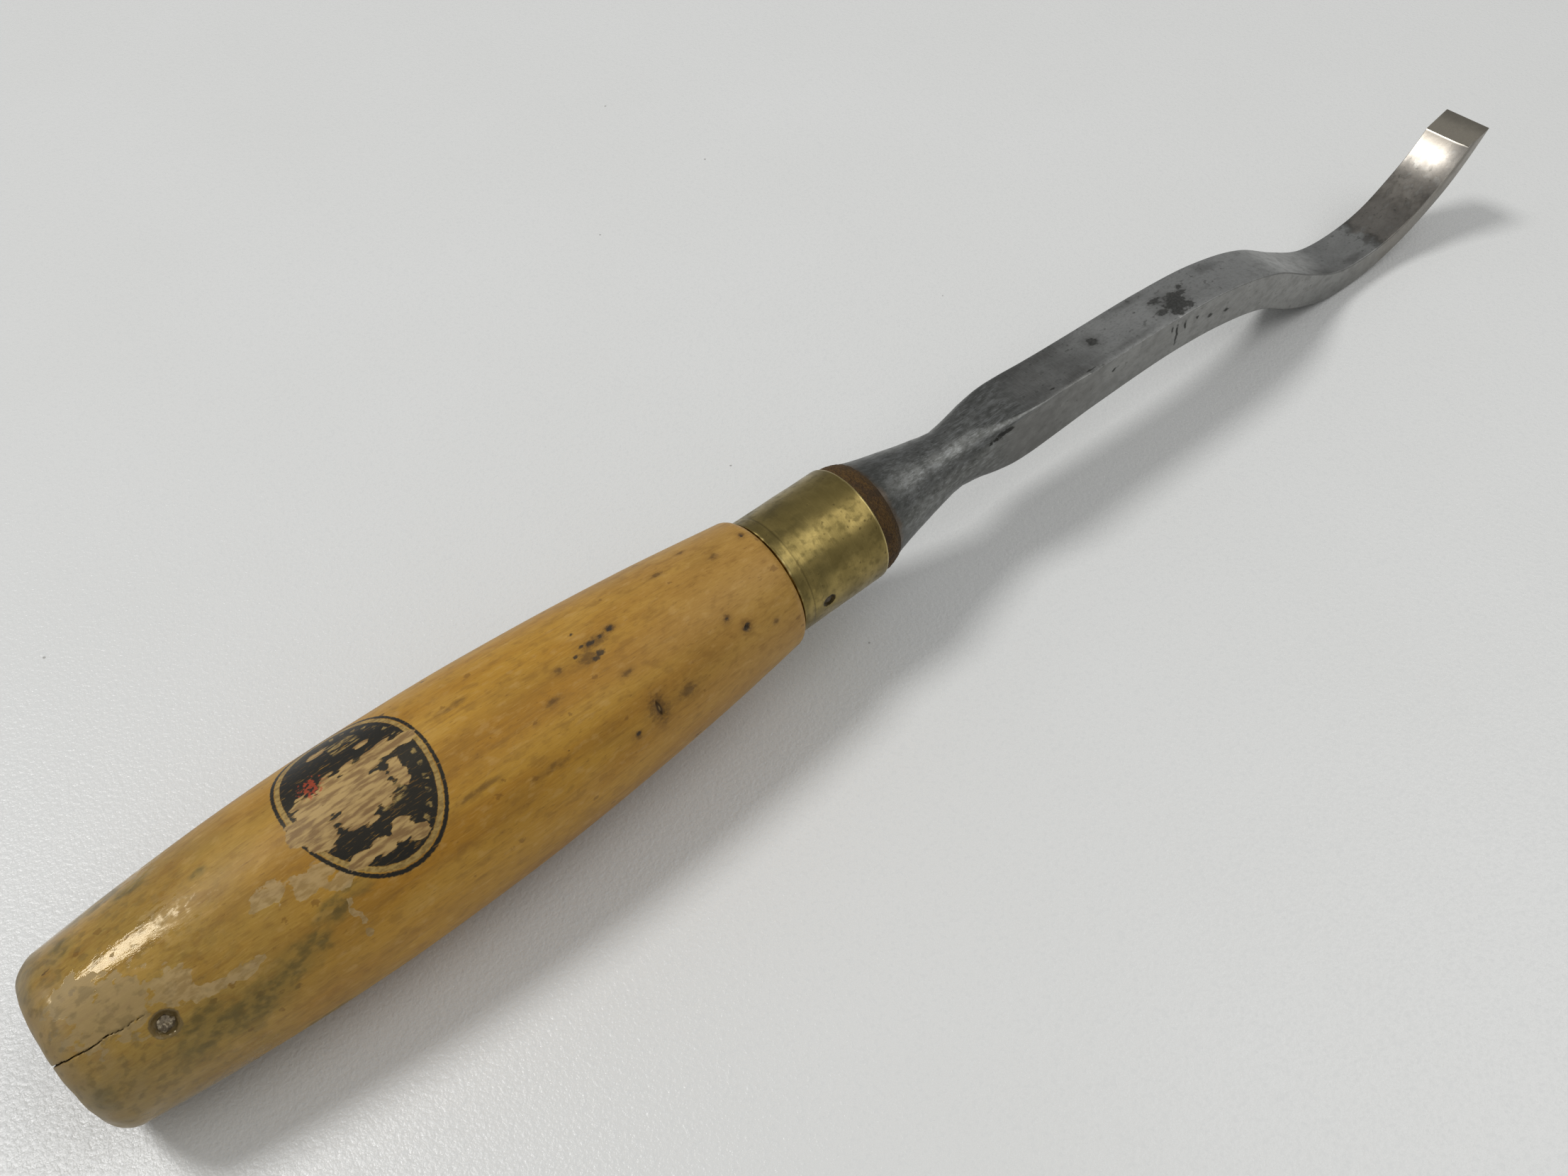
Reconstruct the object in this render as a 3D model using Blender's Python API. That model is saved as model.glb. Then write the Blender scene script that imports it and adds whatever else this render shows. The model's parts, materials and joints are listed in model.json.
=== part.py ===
"""Swan-neck mortise chisel with a turned wooden handle, a brass ferrule and a leather washer.

Units are metres and +Z is up. Each piece is modelled along the tool's own axis: that frame's
origin is the centre of the ferrule's outer end, +X runs to the cutting edge, and the bevel
faces +Z. The tool is then tilted until it rests on its handle and on the underside of its neck,
with the middle of its bounding box's base at the world's origin.
"""
import math

import bmesh
import bpy
from mathutils import Matrix, Vector

MM = 0.001
GAP = 0.3 * MM  # clearance between two pieces that touch on the real tool
MERGE_DISTANCE = 0.001 * MM
SHARP_ANGLE = math.radians(30)

# Blade: one forging with its tang, bolster, waist, shaft and swan neck
BOLSTER_STATIONS = [  # distance along the tool, height of the middle, radius, in millimetres
    (4.3, 0.0, 11.3),
    (8.0, -0.1, 10.3),
    (14.0, -0.2, 9.0),
    (20.0, -0.4, 7.8),
    (25.0, -0.5, 6.9),
]
BOLSTER_BACK_X = BOLSTER_STATIONS[0][0] * MM
BOLSTER_RINGS = 8
ROUND_SHARE = 0.98  # corner radius of a nearly round section, as a share of its half width
SHAFT_STATIONS = [  # distance along the tool, height of the middle, width, depth, corner radius
    (28.0, -0.6, 13.2, 13.2, 6.4),
    (33.0, -0.6, 13.1, 13.5, 4.8),
    (38.0, -0.7, 13.1, 13.8, 2.6),
    (43.0, -0.8, 13.3, 14.0, 1.1),
    (49.0, -1.1, 13.1, 13.6, 0.6),
    (57.0, -1.4, 12.7, 12.8, 0.4),
    (70.0, -1.6, 12.7, 11.3, 0.4),
    (95.0, -2.5, 12.7, 10.3, 0.4),
    (115.0, -5.1, 12.7, 10.3, 0.4),
    (134.0, -10.7, 12.7, 9.9, 0.4),
    (150.0, -19.6, 12.7, 9.8, 0.4),
    (166.0, -26.4, 12.7, 8.3, 0.4),
    (181.0, -28.1, 12.7, 7.1, 0.4),
    (196.0, -25.9, 12.7, 5.8, 0.4),
    (210.0, -19.4, 12.8, 5.4, 0.3),
    (218.0, -13.4, 12.8, 5.2, 0.2),
    (226.0, -4.3, 12.8, 5.1, 0.2),
    (232.0, 3.3, 12.8, 5.1, 0.2),
]
SHAFT_RINGS = 64
SLOPE_STEP = 0.05  # stretch over which the centre line's slope is taken, in millimetres
BLADE_SECTION_POINTS = 24  # six for each of the four corners

# Bevel: the plane through the heel, on the inner face, and the cutting edge, on the outer face
BEVEL_HEEL = (219.1 * MM, -8.8 * MM)
BEVEL_EDGE = (227.4 * MM, -6.7 * MM)
BEVEL_BLOCK_SIZE = 30.0 * MM

# Tang, inside the handle
TANG_END_X = -78.0 * MM
TANG_END_SIZE = 3.0 * MM
TANG_ROOT_SIZE = 8.0 * MM
TANG_CORNER = 0.4 * MM

# Leather washer, squeezed between the bolster and the ferrule
WASHER_X = (GAP, BOLSTER_BACK_X - GAP)
WASHER_RADII = (12.4 * MM, 11.5 * MM)
WASHER_HOLE_RADIUS = 6.2 * MM

# Ferrule
FERRULE_LENGTH = 22.2 * MM
FERRULE_RADIUS = 12.8 * MM
FERRULE_WALL = 1.2 * MM
FERRULE_LIP = 0.5 * MM  # rounding of the ferrule's outer end
FERRULE_BASE_EDGE = 0.2 * MM

# Handle
BUTT_X = -166.0 * MM
BUTT_FLAT_RADIUS = 10.6 * MM
BUTT_ROUND = 5.8 * MM
BUTT_ROUND_END = 100  # degrees, where the rounding runs on into the handle's side
SHOULDER_X = -FERRULE_LENGTH - GAP
SHOULDER_ROUND = 2.2 * MM
SPIGOT_END_X = -GAP
SPIGOT_RADIUS = FERRULE_RADIUS - FERRULE_WALL - GAP
HANDLE_STATIONS = [  # distance along the tool, radius, both in millimetres
    (-161.2, 16.3),
    (-146.0, 17.9),
    (-131.0, 19.1),
    (-116.0, 19.75),
    (-104.0, 19.85),
    (-86.0, 19.6),
    (-66.0, 18.5),
    (-46.0, 16.85),
    (-32.0, 15.3),
    (-24.7, 14.4),
]
HANDLE_RINGS = 30
ROUND_SEGMENTS = 48
ARC_STEPS = 6

# Nail driven in beside the split, and the brad that holds the ferrule
NAIL_X = -149.8 * MM
NAIL_TURN = math.radians(49.0)  # from +Z towards -Y, round the tool's axis
NAIL_HEAD_RADIUS = 1.7 * MM
NAIL_HEAD_THICKNESS = 0.8 * MM
NAIL_SHANK_RADIUS = 0.9 * MM
NAIL_LENGTH = 24.0 * MM
NAIL_TOP_RADIUS = 17.2 * MM  # how far the nail's head lies from the tool's axis
NAIL_HEAD_EDGE = 0.25 * MM
NAIL_POINT = 3.0 * MM
NAIL_PIT_RADIUS = 2.3 * MM
PIN_X = -16.0 * MM
PIN_TURN = math.radians(88.5)
PIN_RADIUS = 0.95 * MM
PIN_LENGTH = 6.0 * MM
PIN_POINT = 1.0 * MM
PIN_DEPTH = 0.35 * MM  # how far its top lies below the ferrule's surface
PIN_TOP_RADIUS = FERRULE_RADIUS - PIN_DEPTH
HOLE_TOP_RADIUS = 22.0 * MM  # outside everything, so that the cutters reach open air
SMALL_SEGMENTS = 16

# Split in the butt: its line on the surface as distance along the tool and sideways shift
SPLIT_TURN = math.radians(37.5)
SPLIT_LINE = [
    (-169.0, 0.6),
    (-164.3, 0.2),
    (-161.3, -0.1),
    (-158.0, -0.3),
    (-156.5, 0.1),
    (-155.6, -0.4),
    (-151.9, -0.3),
]
SPLIT_WIDTH = 0.9 * MM
SPLIT_END_WIDTH = 0.1 * MM
SPLIT_BOTTOM = 7.0 * MM

TILT_STEPS = 6


def clear_scene():
    for item in list(bpy.data.objects):
        bpy.data.objects.remove(item, do_unlink=True)


def make_material(name, color, roughness, metallic=0.0):
    material = bpy.data.materials.new(name)
    material.use_nodes = True
    shader = material.node_tree.nodes["Principled BSDF"]
    shader.inputs["Base Color"].default_value = (*color, 1.0)
    shader.inputs["Roughness"].default_value = roughness
    shader.inputs["Metallic"].default_value = metallic
    return material


def add_object(name, bm, parent, material=None):
    """Turn a bmesh into a named object with closed, outward-facing, smooth-shaded faces."""
    bmesh.ops.remove_doubles(bm, verts=bm.verts, dist=MERGE_DISTANCE)
    bmesh.ops.recalc_face_normals(bm, faces=bm.faces)
    mesh = bpy.data.meshes.new(name)
    bm.to_mesh(mesh)
    bm.free()
    mesh.shade_smooth()
    mesh.set_sharp_from_angle(angle=SHARP_ANGLE)
    if material:
        mesh.materials.append(material)
    item = bpy.data.objects.new(name, mesh)
    item.parent = parent
    bpy.context.collection.objects.link(item)
    return item


def cut(target, cutter):
    """Subtract a cutter, which stays in the file as a hidden wire shape."""
    cutter.hide_render = True
    cutter.display_type = "WIRE"
    modifier = target.modifiers.new("cut_" + cutter.name, "BOOLEAN")
    modifier.operation = "DIFFERENCE"
    modifier.solver = "EXACT"
    modifier.object = cutter


def smooth_value(stations, x):
    """Values at x on a smooth curve through stations of (x, value, ...)."""
    last = len(stations) - 2
    index = sum(1 for station in stations[1:-1] if station[0] <= x)
    index = min(index, last)
    here, there = stations[index], stations[index + 1]
    before = stations[max(index - 1, 0)]
    after = stations[min(index + 2, last + 1)]
    span = there[0] - here[0]
    t = (x - here[0]) / span
    values = []
    for column in range(1, len(here)):
        slope_here = (there[column] - before[column]) / (there[0] - before[0]) * span
        slope_there = (after[column] - here[column]) / (after[0] - here[0]) * span
        step = there[column] - here[column]
        curve = (slope_here - 2 * step + slope_there) * t + 3 * step - 2 * slope_here - slope_there
        values.append(here[column] + t * (slope_here + t * curve))
    return values


def spread(start, end, count):
    """Evenly spaced values from start to end, both included."""
    return [start + (end - start) * index / (count - 1) for index in range(count)]


def arc(centre, radius, start_degrees, end_degrees):
    """Points (x, r) on a round stretch of a profile."""
    angles = spread(math.radians(start_degrees), math.radians(end_degrees), ARC_STEPS + 1)
    return [(centre[0] + radius * math.cos(a), centre[1] + radius * math.sin(a)) for a in angles]


def turned(profile, segments, closed=False):
    """Spin a profile of (x, r) points round the X axis."""
    bm = bmesh.new()
    verts = [bm.verts.new((x, 0.0, r)) for x, r in profile]
    pairs = list(zip(verts, verts[1:]))
    if closed:
        pairs.append((verts[-1], verts[0]))
    edges = [bm.edges.new(pair) for pair in pairs]
    half_step = math.pi / segments  # puts a flat of the many-sided shape at the very bottom
    turn = Matrix.Rotation(half_step, 3, "X")
    bmesh.ops.rotate(bm, verts=verts, cent=(0, 0, 0), matrix=turn)
    bmesh.ops.spin(bm, geom=verts + edges, cent=(0, 0, 0), axis=(1, 0, 0), angle=2 * math.pi,
                   steps=segments, use_merge=True)
    return bm


def loft(rings):
    """Skin a row of rings with equal point counts, and close both ends."""
    bm = bmesh.new()
    rows = [[bm.verts.new(point) for point in ring] for ring in rings]
    count = len(rows[0])
    for row, following in zip(rows, rows[1:]):
        for index in range(count):
            beside = (index + 1) % count
            bm.faces.new((row[index], row[beside], following[beside], following[index]))
    bm.faces.new(rows[0])
    bm.faces.new(rows[-1])
    return bm


def section(width, depth, corner):
    """Ring of (sideways, up) points round a rectangle with rounded corners."""
    per_corner = BLADE_SECTION_POINTS // 4
    ring = []
    for quarter in range(4):
        side_y = 1 if quarter in (0, 3) else -1
        side_z = 1 if quarter in (0, 1) else -1
        centre = Vector((side_y * (width / 2 - corner), side_z * (depth / 2 - corner)))
        for step in range(per_corner):
            angle = (quarter + step / (per_corner - 1)) * math.pi / 2
            ring.append(centre + Vector((math.cos(angle), math.sin(angle))) * corner)
    return ring


def ring_at(x, height, slope, flat_ring):
    """Stand a flat ring square to a centre line that climbs at the given slope."""
    along = Vector((1.0, 0.0, slope)).normalized()
    up = Vector((-along.z, 0.0, along.x))
    middle = Vector((x, 0.0, height))
    return [middle + Vector((0.0, side, 0.0)) + up * rise for side, rise in flat_ring]


def shaft_ring(x):
    """The blade's section at a distance in millimetres, from the waist to beyond the edge."""
    height, width, depth, corner = smooth_value(SHAFT_STATIONS, x)
    ahead = smooth_value(SHAFT_STATIONS, x + SLOPE_STEP)[0]
    flat_ring = section(width * MM, depth * MM, corner * MM)
    return ring_at(x * MM, height * MM, (ahead - height) / SLOPE_STEP, flat_ring)


def tang_size(x):
    t = (x - TANG_END_X) / (BOLSTER_BACK_X - TANG_END_X)
    return TANG_END_SIZE + (TANG_ROOT_SIZE - TANG_END_SIZE) * t


def tang_ring(x, margin=0.0):
    size = tang_size(x) + 2 * margin
    return ring_at(x, 0.0, 0.0, section(size, size, TANG_CORNER))


def bolster_ring(x):
    height, radius = smooth_value(BOLSTER_STATIONS, x)
    flat_ring = section(2 * radius * MM, 2 * radius * MM, ROUND_SHARE * radius * MM)
    return ring_at(x * MM, height * MM, 0.0, flat_ring)


def make_blade(parent, steel):
    rings = [tang_ring(TANG_END_X), tang_ring(BOLSTER_BACK_X)]
    for x in spread(BOLSTER_STATIONS[0][0], BOLSTER_STATIONS[-1][0], BOLSTER_RINGS):
        rings.append(bolster_ring(x))
    for x in spread(SHAFT_STATIONS[0][0], SHAFT_STATIONS[-1][0], SHAFT_RINGS):
        rings.append(shaft_ring(x))
    blade = add_object("blade", loft(rings), parent, steel)
    cut(blade, make_bevel_block(parent))


def make_bevel_block(parent):
    """Block whose underside is the plane of the bevel."""
    heel = Vector((BEVEL_HEEL[0], 0.0, BEVEL_HEEL[1]))
    edge = Vector((BEVEL_EDGE[0], 0.0, BEVEL_EDGE[1]))
    along = (edge - heel).normalized()
    side = Vector((0.0, 1.0, 0.0))
    turn = Matrix((along, side, along.cross(side))).transposed().to_4x4()
    centre = (heel + edge) / 2 + along.cross(side) * BEVEL_BLOCK_SIZE / 2
    bm = bmesh.new()
    bmesh.ops.create_cube(bm, size=BEVEL_BLOCK_SIZE, matrix=Matrix.Translation(centre) @ turn)
    return add_object("bevel_block", bm, parent)


def make_washer(parent, leather):
    (back, front), (back_radius, front_radius) = WASHER_X, WASHER_RADII
    profile = [(front, WASHER_HOLE_RADIUS), (back, WASHER_HOLE_RADIUS),
               (back, back_radius), (front, front_radius)]
    add_object("leather_washer", turned(profile, ROUND_SEGMENTS, closed=True), parent, leather)


def make_ferrule(parent, brass, pin_hole):
    inside = FERRULE_RADIUS - FERRULE_WALL
    lip = arc((-FERRULE_LIP, FERRULE_RADIUS - FERRULE_LIP), FERRULE_LIP, 90, 0)
    profile = [(0.0, inside), (-FERRULE_LENGTH, inside),
               (-FERRULE_LENGTH, FERRULE_RADIUS - FERRULE_BASE_EDGE),
               (-FERRULE_LENGTH + FERRULE_BASE_EDGE, FERRULE_RADIUS)] + lip
    ferrule = add_object("ferrule", turned(profile, ROUND_SEGMENTS, closed=True), parent, brass)
    cut(ferrule, pin_hole)


def handle_profile():
    """The handle's outline from the middle of the butt to the end of the ferrule's spigot."""
    shoulder_radius = HANDLE_STATIONS[-1][1] * MM
    rim = (BUTT_X + BUTT_ROUND, BUTT_FLAT_RADIUS)
    butt = arc(rim, BUTT_ROUND, 180, BUTT_ROUND_END)
    body = []
    for x in spread(HANDLE_STATIONS[0][0], HANDLE_STATIONS[-1][0], HANDLE_RINGS)[1:-1]:
        radius, = smooth_value(HANDLE_STATIONS, x)
        body.append((x * MM, radius * MM))
    corner = (SHOULDER_X - SHOULDER_ROUND, shoulder_radius - SHOULDER_ROUND)
    shoulder = arc(corner, SHOULDER_ROUND, 90, 0)
    spigot = [(SHOULDER_X, SPIGOT_RADIUS), (SPIGOT_END_X, SPIGOT_RADIUS), (SPIGOT_END_X, 0.0)]
    return [(BUTT_X, 0.0)] + butt + body + shoulder + spigot


def make_handle(parent, wood, cutters):
    handle = add_object("handle", turned(handle_profile(), ROUND_SEGMENTS), parent, wood)
    for cutter in cutters:
        cut(handle, cutter)


def make_tang_hole(parent):
    """Tapered square hole, a gap wider than the tang all round and at its end."""
    rings = [tang_ring(x, GAP) for x in (TANG_END_X - GAP, BOLSTER_BACK_X)]
    return add_object("tang_hole", loft(rings), parent)


def place_radially(item, x, turn):
    """Point an object's X axis straight out of the handle at a place along it and round it."""
    upright = Matrix.Rotation(-math.pi / 2, 4, "Y")
    item.matrix_local = Matrix.Translation((x, 0, 0)) @ Matrix.Rotation(turn, 4, "X") @ upright


def make_nail(parent, steel):
    """Wire nail: its profile runs inwards from the head, as distance from the tool's axis."""
    under_head = NAIL_TOP_RADIUS - NAIL_HEAD_THICKNESS
    tip = NAIL_TOP_RADIUS - NAIL_LENGTH
    profile = [(NAIL_TOP_RADIUS, 0.0),
               (NAIL_TOP_RADIUS, NAIL_HEAD_RADIUS - NAIL_HEAD_EDGE),
               (NAIL_TOP_RADIUS - NAIL_HEAD_EDGE, NAIL_HEAD_RADIUS),
               (under_head, NAIL_HEAD_RADIUS),
               (under_head, NAIL_SHANK_RADIUS),
               (tip + NAIL_POINT, NAIL_SHANK_RADIUS),
               (tip, 0.0)]
    nail = add_object("handle_nail", turned(profile, SMALL_SEGMENTS), parent, steel)
    place_radially(nail, NAIL_X, NAIL_TURN)


def make_nail_hole(parent):
    pit_floor = NAIL_TOP_RADIUS - NAIL_HEAD_THICKNESS - GAP
    hole_radius = NAIL_SHANK_RADIUS + GAP
    profile = [(HOLE_TOP_RADIUS, 0.0), (HOLE_TOP_RADIUS, NAIL_PIT_RADIUS),
               (pit_floor, NAIL_PIT_RADIUS), (pit_floor, hole_radius),
               (NAIL_TOP_RADIUS - NAIL_LENGTH - GAP, hole_radius),
               (NAIL_TOP_RADIUS - NAIL_LENGTH - GAP, 0.0)]
    hole = add_object("nail_hole", turned(profile, SMALL_SEGMENTS), parent)
    place_radially(hole, NAIL_X, NAIL_TURN)
    return hole


def make_pin(parent, steel):
    bottom = PIN_TOP_RADIUS - PIN_LENGTH
    profile = [(PIN_TOP_RADIUS, 0.0), (PIN_TOP_RADIUS, PIN_RADIUS),
               (bottom + PIN_POINT, PIN_RADIUS), (bottom, 0.0)]
    pin = add_object("ferrule_pin", turned(profile, SMALL_SEGMENTS), parent, steel)
    place_radially(pin, PIN_X, PIN_TURN)


def make_pin_hole(parent):
    bottom = PIN_TOP_RADIUS - PIN_LENGTH - GAP
    profile = [(HOLE_TOP_RADIUS, 0.0), (HOLE_TOP_RADIUS, PIN_RADIUS + GAP),
               (bottom, PIN_RADIUS + GAP), (bottom, 0.0)]
    hole = add_object("pin_hole", turned(profile, SMALL_SEGMENTS), parent)
    place_radially(hole, PIN_X, PIN_TURN)
    return hole


def make_split(parent):
    """Thin crooked wedge that opens towards the butt."""
    start, end = SPLIT_LINE[0][0], SPLIT_LINE[-1][0]
    near_side, far_side = [], []
    for x, shift in SPLIT_LINE:
        share = (x - start) / (end - start)
        half = (SPLIT_WIDTH + (SPLIT_END_WIDTH - SPLIT_WIDTH) * share) / 2
        near_side.append((x * MM, shift * MM - half))
        far_side.append((x * MM, shift * MM + half))
    outline = near_side + far_side[::-1]
    rings = [[Vector((x, y, z)) for x, y in outline] for z in (SPLIT_BOTTOM, HOLE_TOP_RADIUS)]
    split = add_object("split", loft(rings), parent)
    split.matrix_local = Matrix.Rotation(SPLIT_TURN, 4, "X")
    return split


def outline_points(name):
    """A piece's points in the tool's own frame."""
    return [vertex.co.copy() for vertex in bpy.data.objects[name].data.vertices]


def resting_tilt(rear_points, front_points):
    """Angle by which the tool's axis rises when both groups of points touch the table."""
    tilt = 0.0
    for _ in range(TILT_STEPS):
        up = Vector((math.sin(tilt), 0.0, math.cos(tilt)))
        rear = min(rear_points, key=up.dot)
        front = min(front_points, key=up.dot)
        tilt = math.atan2(rear.z - front.z, front.x - rear.x)
    return tilt


def settle(root):
    """Tilt the tool onto the table and centre its bounding box over the origin."""
    root.rotation_euler.y = -resting_tilt(outline_points("handle"), outline_points("blade"))
    bpy.context.view_layer.update()
    graph = bpy.context.evaluated_depsgraph_get()
    points = []
    for piece in bpy.data.objects:
        if piece.type == "MESH" and not piece.hide_render:
            solid = piece.evaluated_get(graph)
            points += [solid.matrix_world @ vertex.co for vertex in solid.data.vertices]
    low = [min(point[axis] for point in points) for axis in range(3)]
    high = [max(point[axis] for point in points) for axis in range(3)]
    root.location = (-(low[0] + high[0]) / 2, -(low[1] + high[1]) / 2, -low[2])
    bpy.context.view_layer.update()


def main():
    clear_scene()
    root = bpy.data.objects.new("tool_axis", None)
    bpy.context.collection.objects.link(root)
    steel = make_material("steel", (0.22, 0.22, 0.215), roughness=0.42, metallic=1.0)
    wood = make_material("wood", (0.52, 0.31, 0.10), roughness=0.35)
    brass = make_material("brass", (0.45, 0.36, 0.15), roughness=0.38, metallic=1.0)
    leather = make_material("leather", (0.10, 0.045, 0.018), roughness=0.8)
    nail_steel = make_material("nail_steel", (0.35, 0.34, 0.32), roughness=0.5, metallic=1.0)

    make_blade(root, steel)
    make_washer(root, leather)
    pin_hole = make_pin_hole(root)
    make_ferrule(root, brass, pin_hole)
    cutters = [make_tang_hole(root), make_nail_hole(root), pin_hole, make_split(root)]
    make_handle(root, wood, cutters)
    make_nail(root, nail_steel)
    make_pin(root, nail_steel)
    settle(root)


main()
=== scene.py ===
"""Looks of a swan-neck mortise chisel: worn varnished handle, tarnished brass ferrule, old steel.

Every piece is built in the tool's own frame, in millimetres: the origin is the centre of the
ferrule's outer end, +X runs to the cutting edge and the bevel faces +Z. A finished mesh is then
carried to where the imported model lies, and a material turns its coordinates back to the tool's
own. An angle round the tool is measured from +Z towards +Y.
"""

import json
import math

import bmesh
import bpy
import numpy as np
from mathutils import Matrix, Vector, noise


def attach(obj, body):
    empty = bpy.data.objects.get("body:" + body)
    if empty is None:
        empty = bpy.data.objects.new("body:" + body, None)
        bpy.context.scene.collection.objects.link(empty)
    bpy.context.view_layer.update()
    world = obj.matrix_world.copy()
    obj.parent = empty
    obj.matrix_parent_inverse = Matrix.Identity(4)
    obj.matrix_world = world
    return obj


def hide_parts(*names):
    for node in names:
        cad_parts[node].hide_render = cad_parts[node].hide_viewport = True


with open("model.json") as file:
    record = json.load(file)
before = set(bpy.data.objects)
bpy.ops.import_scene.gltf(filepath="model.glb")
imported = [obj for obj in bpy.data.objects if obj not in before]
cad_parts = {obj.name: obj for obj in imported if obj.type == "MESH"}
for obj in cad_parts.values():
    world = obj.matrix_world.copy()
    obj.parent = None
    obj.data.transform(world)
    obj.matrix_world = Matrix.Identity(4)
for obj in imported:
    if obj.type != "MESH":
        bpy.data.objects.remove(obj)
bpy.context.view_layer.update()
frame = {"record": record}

MM = 0.001
MERGE_DISTANCE = 0.0005 * MM

# Handle, ferrule and washer
BUTT_X = -166.0
BUTT_FLAT_RADIUS = 10.6
BUTT_ROUND = 5.8
BUTT_ROUND_END = 100  # degrees
SHOULDER_ROUND = 2.2
GAP = 0.3  # between the handle and the ferrule
FERRULE_LENGTH = 22.2
FERRULE_RADIUS = 12.8
FERRULE_INSIDE = 11.6
HANDLE_STATIONS = [  # distance along the tool, radius
    (-161.2, 16.3), (-146.0, 17.9), (-131.0, 19.1), (-116.0, 19.75), (-104.0, 19.85),
    (-86.0, 19.6), (-66.0, 18.5), (-46.0, 16.85), (-32.0, 15.3), (-24.7, 14.4),
]
HANDLE_STEP = 0.5
FINE_STEP = 0.3  # between the butt and the end of the split
FINE_STEP_END = -147.0
HANDLE_COLUMNS = 256
CROWDING = 0.6  # how far the handle's columns crowd together round the split and the nail
CROWDED_ANGLE = math.radians(-42)

# Blade
BOLSTER_STATIONS = [  # distance along the tool, height of the middle, radius
    (4.3, 0.0, 11.3), (8.0, -0.1, 10.3), (14.0, -0.2, 9.0), (20.0, -0.4, 7.8), (25.0, -0.5, 6.9),
]
SHAFT_STATIONS = [  # distance along the tool, height of the middle, width, depth, corner radius
    (28.0, -0.6, 13.2, 13.2, 6.4), (33.0, -0.6, 13.1, 13.5, 4.8), (38.0, -0.7, 13.1, 13.8, 2.6),
    (43.0, -0.8, 13.3, 14.0, 1.3), (49.0, -1.1, 13.1, 13.6, 0.6), (57.0, -1.4, 12.7, 12.8, 0.35),
    (70.0, -1.6, 12.7, 11.3, 0.22), (95.0, -2.5, 12.7, 10.3, 0.22),
    (115.0, -5.1, 12.7, 10.3, 0.25), (134.0, -10.7, 12.7, 9.9, 0.35),
    (150.0, -19.6, 12.7, 9.8, 0.45), (166.0, -26.4, 12.7, 8.3, 0.45),
    (181.0, -28.1, 12.7, 7.1, 0.4), (196.0, -25.9, 12.7, 5.8, 0.3),
    (210.0, -19.4, 12.8, 5.4, 0.2), (218.0, -13.4, 12.8, 5.2, 0.15),
    (226.0, -4.3, 12.8, 5.1, 0.12), (232.0, 3.3, 12.8, 5.1, 0.12),
]
TANG_END = (-78.0, 3.0)  # distance along the tool, width across the square
TANG_ROOT_WIDTH = 8.0
TANG_STEP = 8.0
TANG_CORNER = 0.4
BOLSTER_ROUNDNESS = 0.98  # share of the bolster's radius that its corners take up
BLADE_STEP = 0.5
SLOPE_STEP = 0.05  # the slope of the middle line is measured over this
CORNER_STEPS = 10
FLAT_STEPS = 14
BEVEL_HEEL = Vector((219.1, 0.0, -8.8))
BEVEL_EDGE = Vector((227.4, 0.0, -6.7))
BEVEL_ALONG = (BEVEL_EDGE - BEVEL_HEEL).normalized()  # from the heel towards the edge
BEVEL_START = 212.0  # nothing nearer to the handle is ground

# Marks on the handle: distance along the tool, angle in degrees, half length, half width
SPLIT = [  # the crooked line of the split, from the butt's rim to its end
    (-167.0, -35.6), (-164.7, -36.1), (-162.7, -37.0), (-160.5, -37.9), (-158.7, -38.2),
    (-157.1, -37.5), (-156.1, -38.3), (-154.9, -39.2), (-153.4, -38.8), (-151.2, -39.6),
]
NAIL = (-149.8, -49.0)  # distance along the tool, angle
PIN = (-16.0, -88.5)
NAIL_PIT = (*NAIL, 2.35, 2.25)
PIN_PIT = (*PIN, 1.5, 1.3)
DENT = (-58.7, -61.6, 0.6, 2.2)
WORMHOLE = (-36.1, -53.7, 0.75, 0.75)
WORN = [
    (-121.8, -30.5, 4.0, 2.0), (-117.8, -38.5, 2.0, 1.5), (-128.5, -25.5, 3.4, 1.8),
    (-137.5, -48, 3.6, 1.1), (-142.5, -46.5, 2.8, 1.1), (-145.5, -41, 2.2, 1.8),
    (-146.5, -34, 3.2, 2.4), (-118.8, -49, 0.5, 0.9), (-119.3, -54, 0.4, 1.2),
    (-118.6, -60, 0.4, 1.4), (-118.9, -67, 0.6, 1.1), (-155, -27, 6.5, 5.5),
    (-158, -10, 4.0, 3.0), (-166.2, -24, 0.9, 3.0),
    (-140, 120, 4.0, 1.6), (-146, 128, 2.6, 1.2), (-112, 150, 2.4, 1.2), (-70, 100, 1.6, 0.7),
    (-152, -130, 4.0, 2.4), (-134, -150, 2.6, 1.4), (-96, -120, 1.6, 0.8), (-156, 70, 4.0, 3.0),
]
GRIME = [
    (-147.4, -68, 5, 4), (-143, -69, 5, 4), (-139, -67, 5, 4), (-134.4, -63.8, 4.5, 3),
    (-131.6, -61.7, 4, 3), (-127.1, -56.9, 4, 2.4), (-121.5, -48.5, 4, 2.2),
    (-116.6, -46, 3, 1.6), (-156.3, 21.8, 2.6, 2.2), (-144.4, 29.6, 3.2, 1.8),
    (-134.8, 5.2, 1.8, 0.8), (-162.5, -66, 2, 4), (-163.5, 40, 3, 10), (-149, 44, 5, 3),
    (-146, -60, 5, 3), (-88, 4, 4, 0.7), (-80, -52, 5, 0.7), (-94, -40, 5, 0.6),
    (-150, 95, 6, 4), (-138, 105, 5, 3), (-120, 170, 6, 2), (-84, 130, 7, 1.4), (-44, 75, 5, 1.0),
    (-152, -160, 5, 4), (-130, -115, 6, 2), (-68, -140, 6, 1.2),
]
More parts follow.
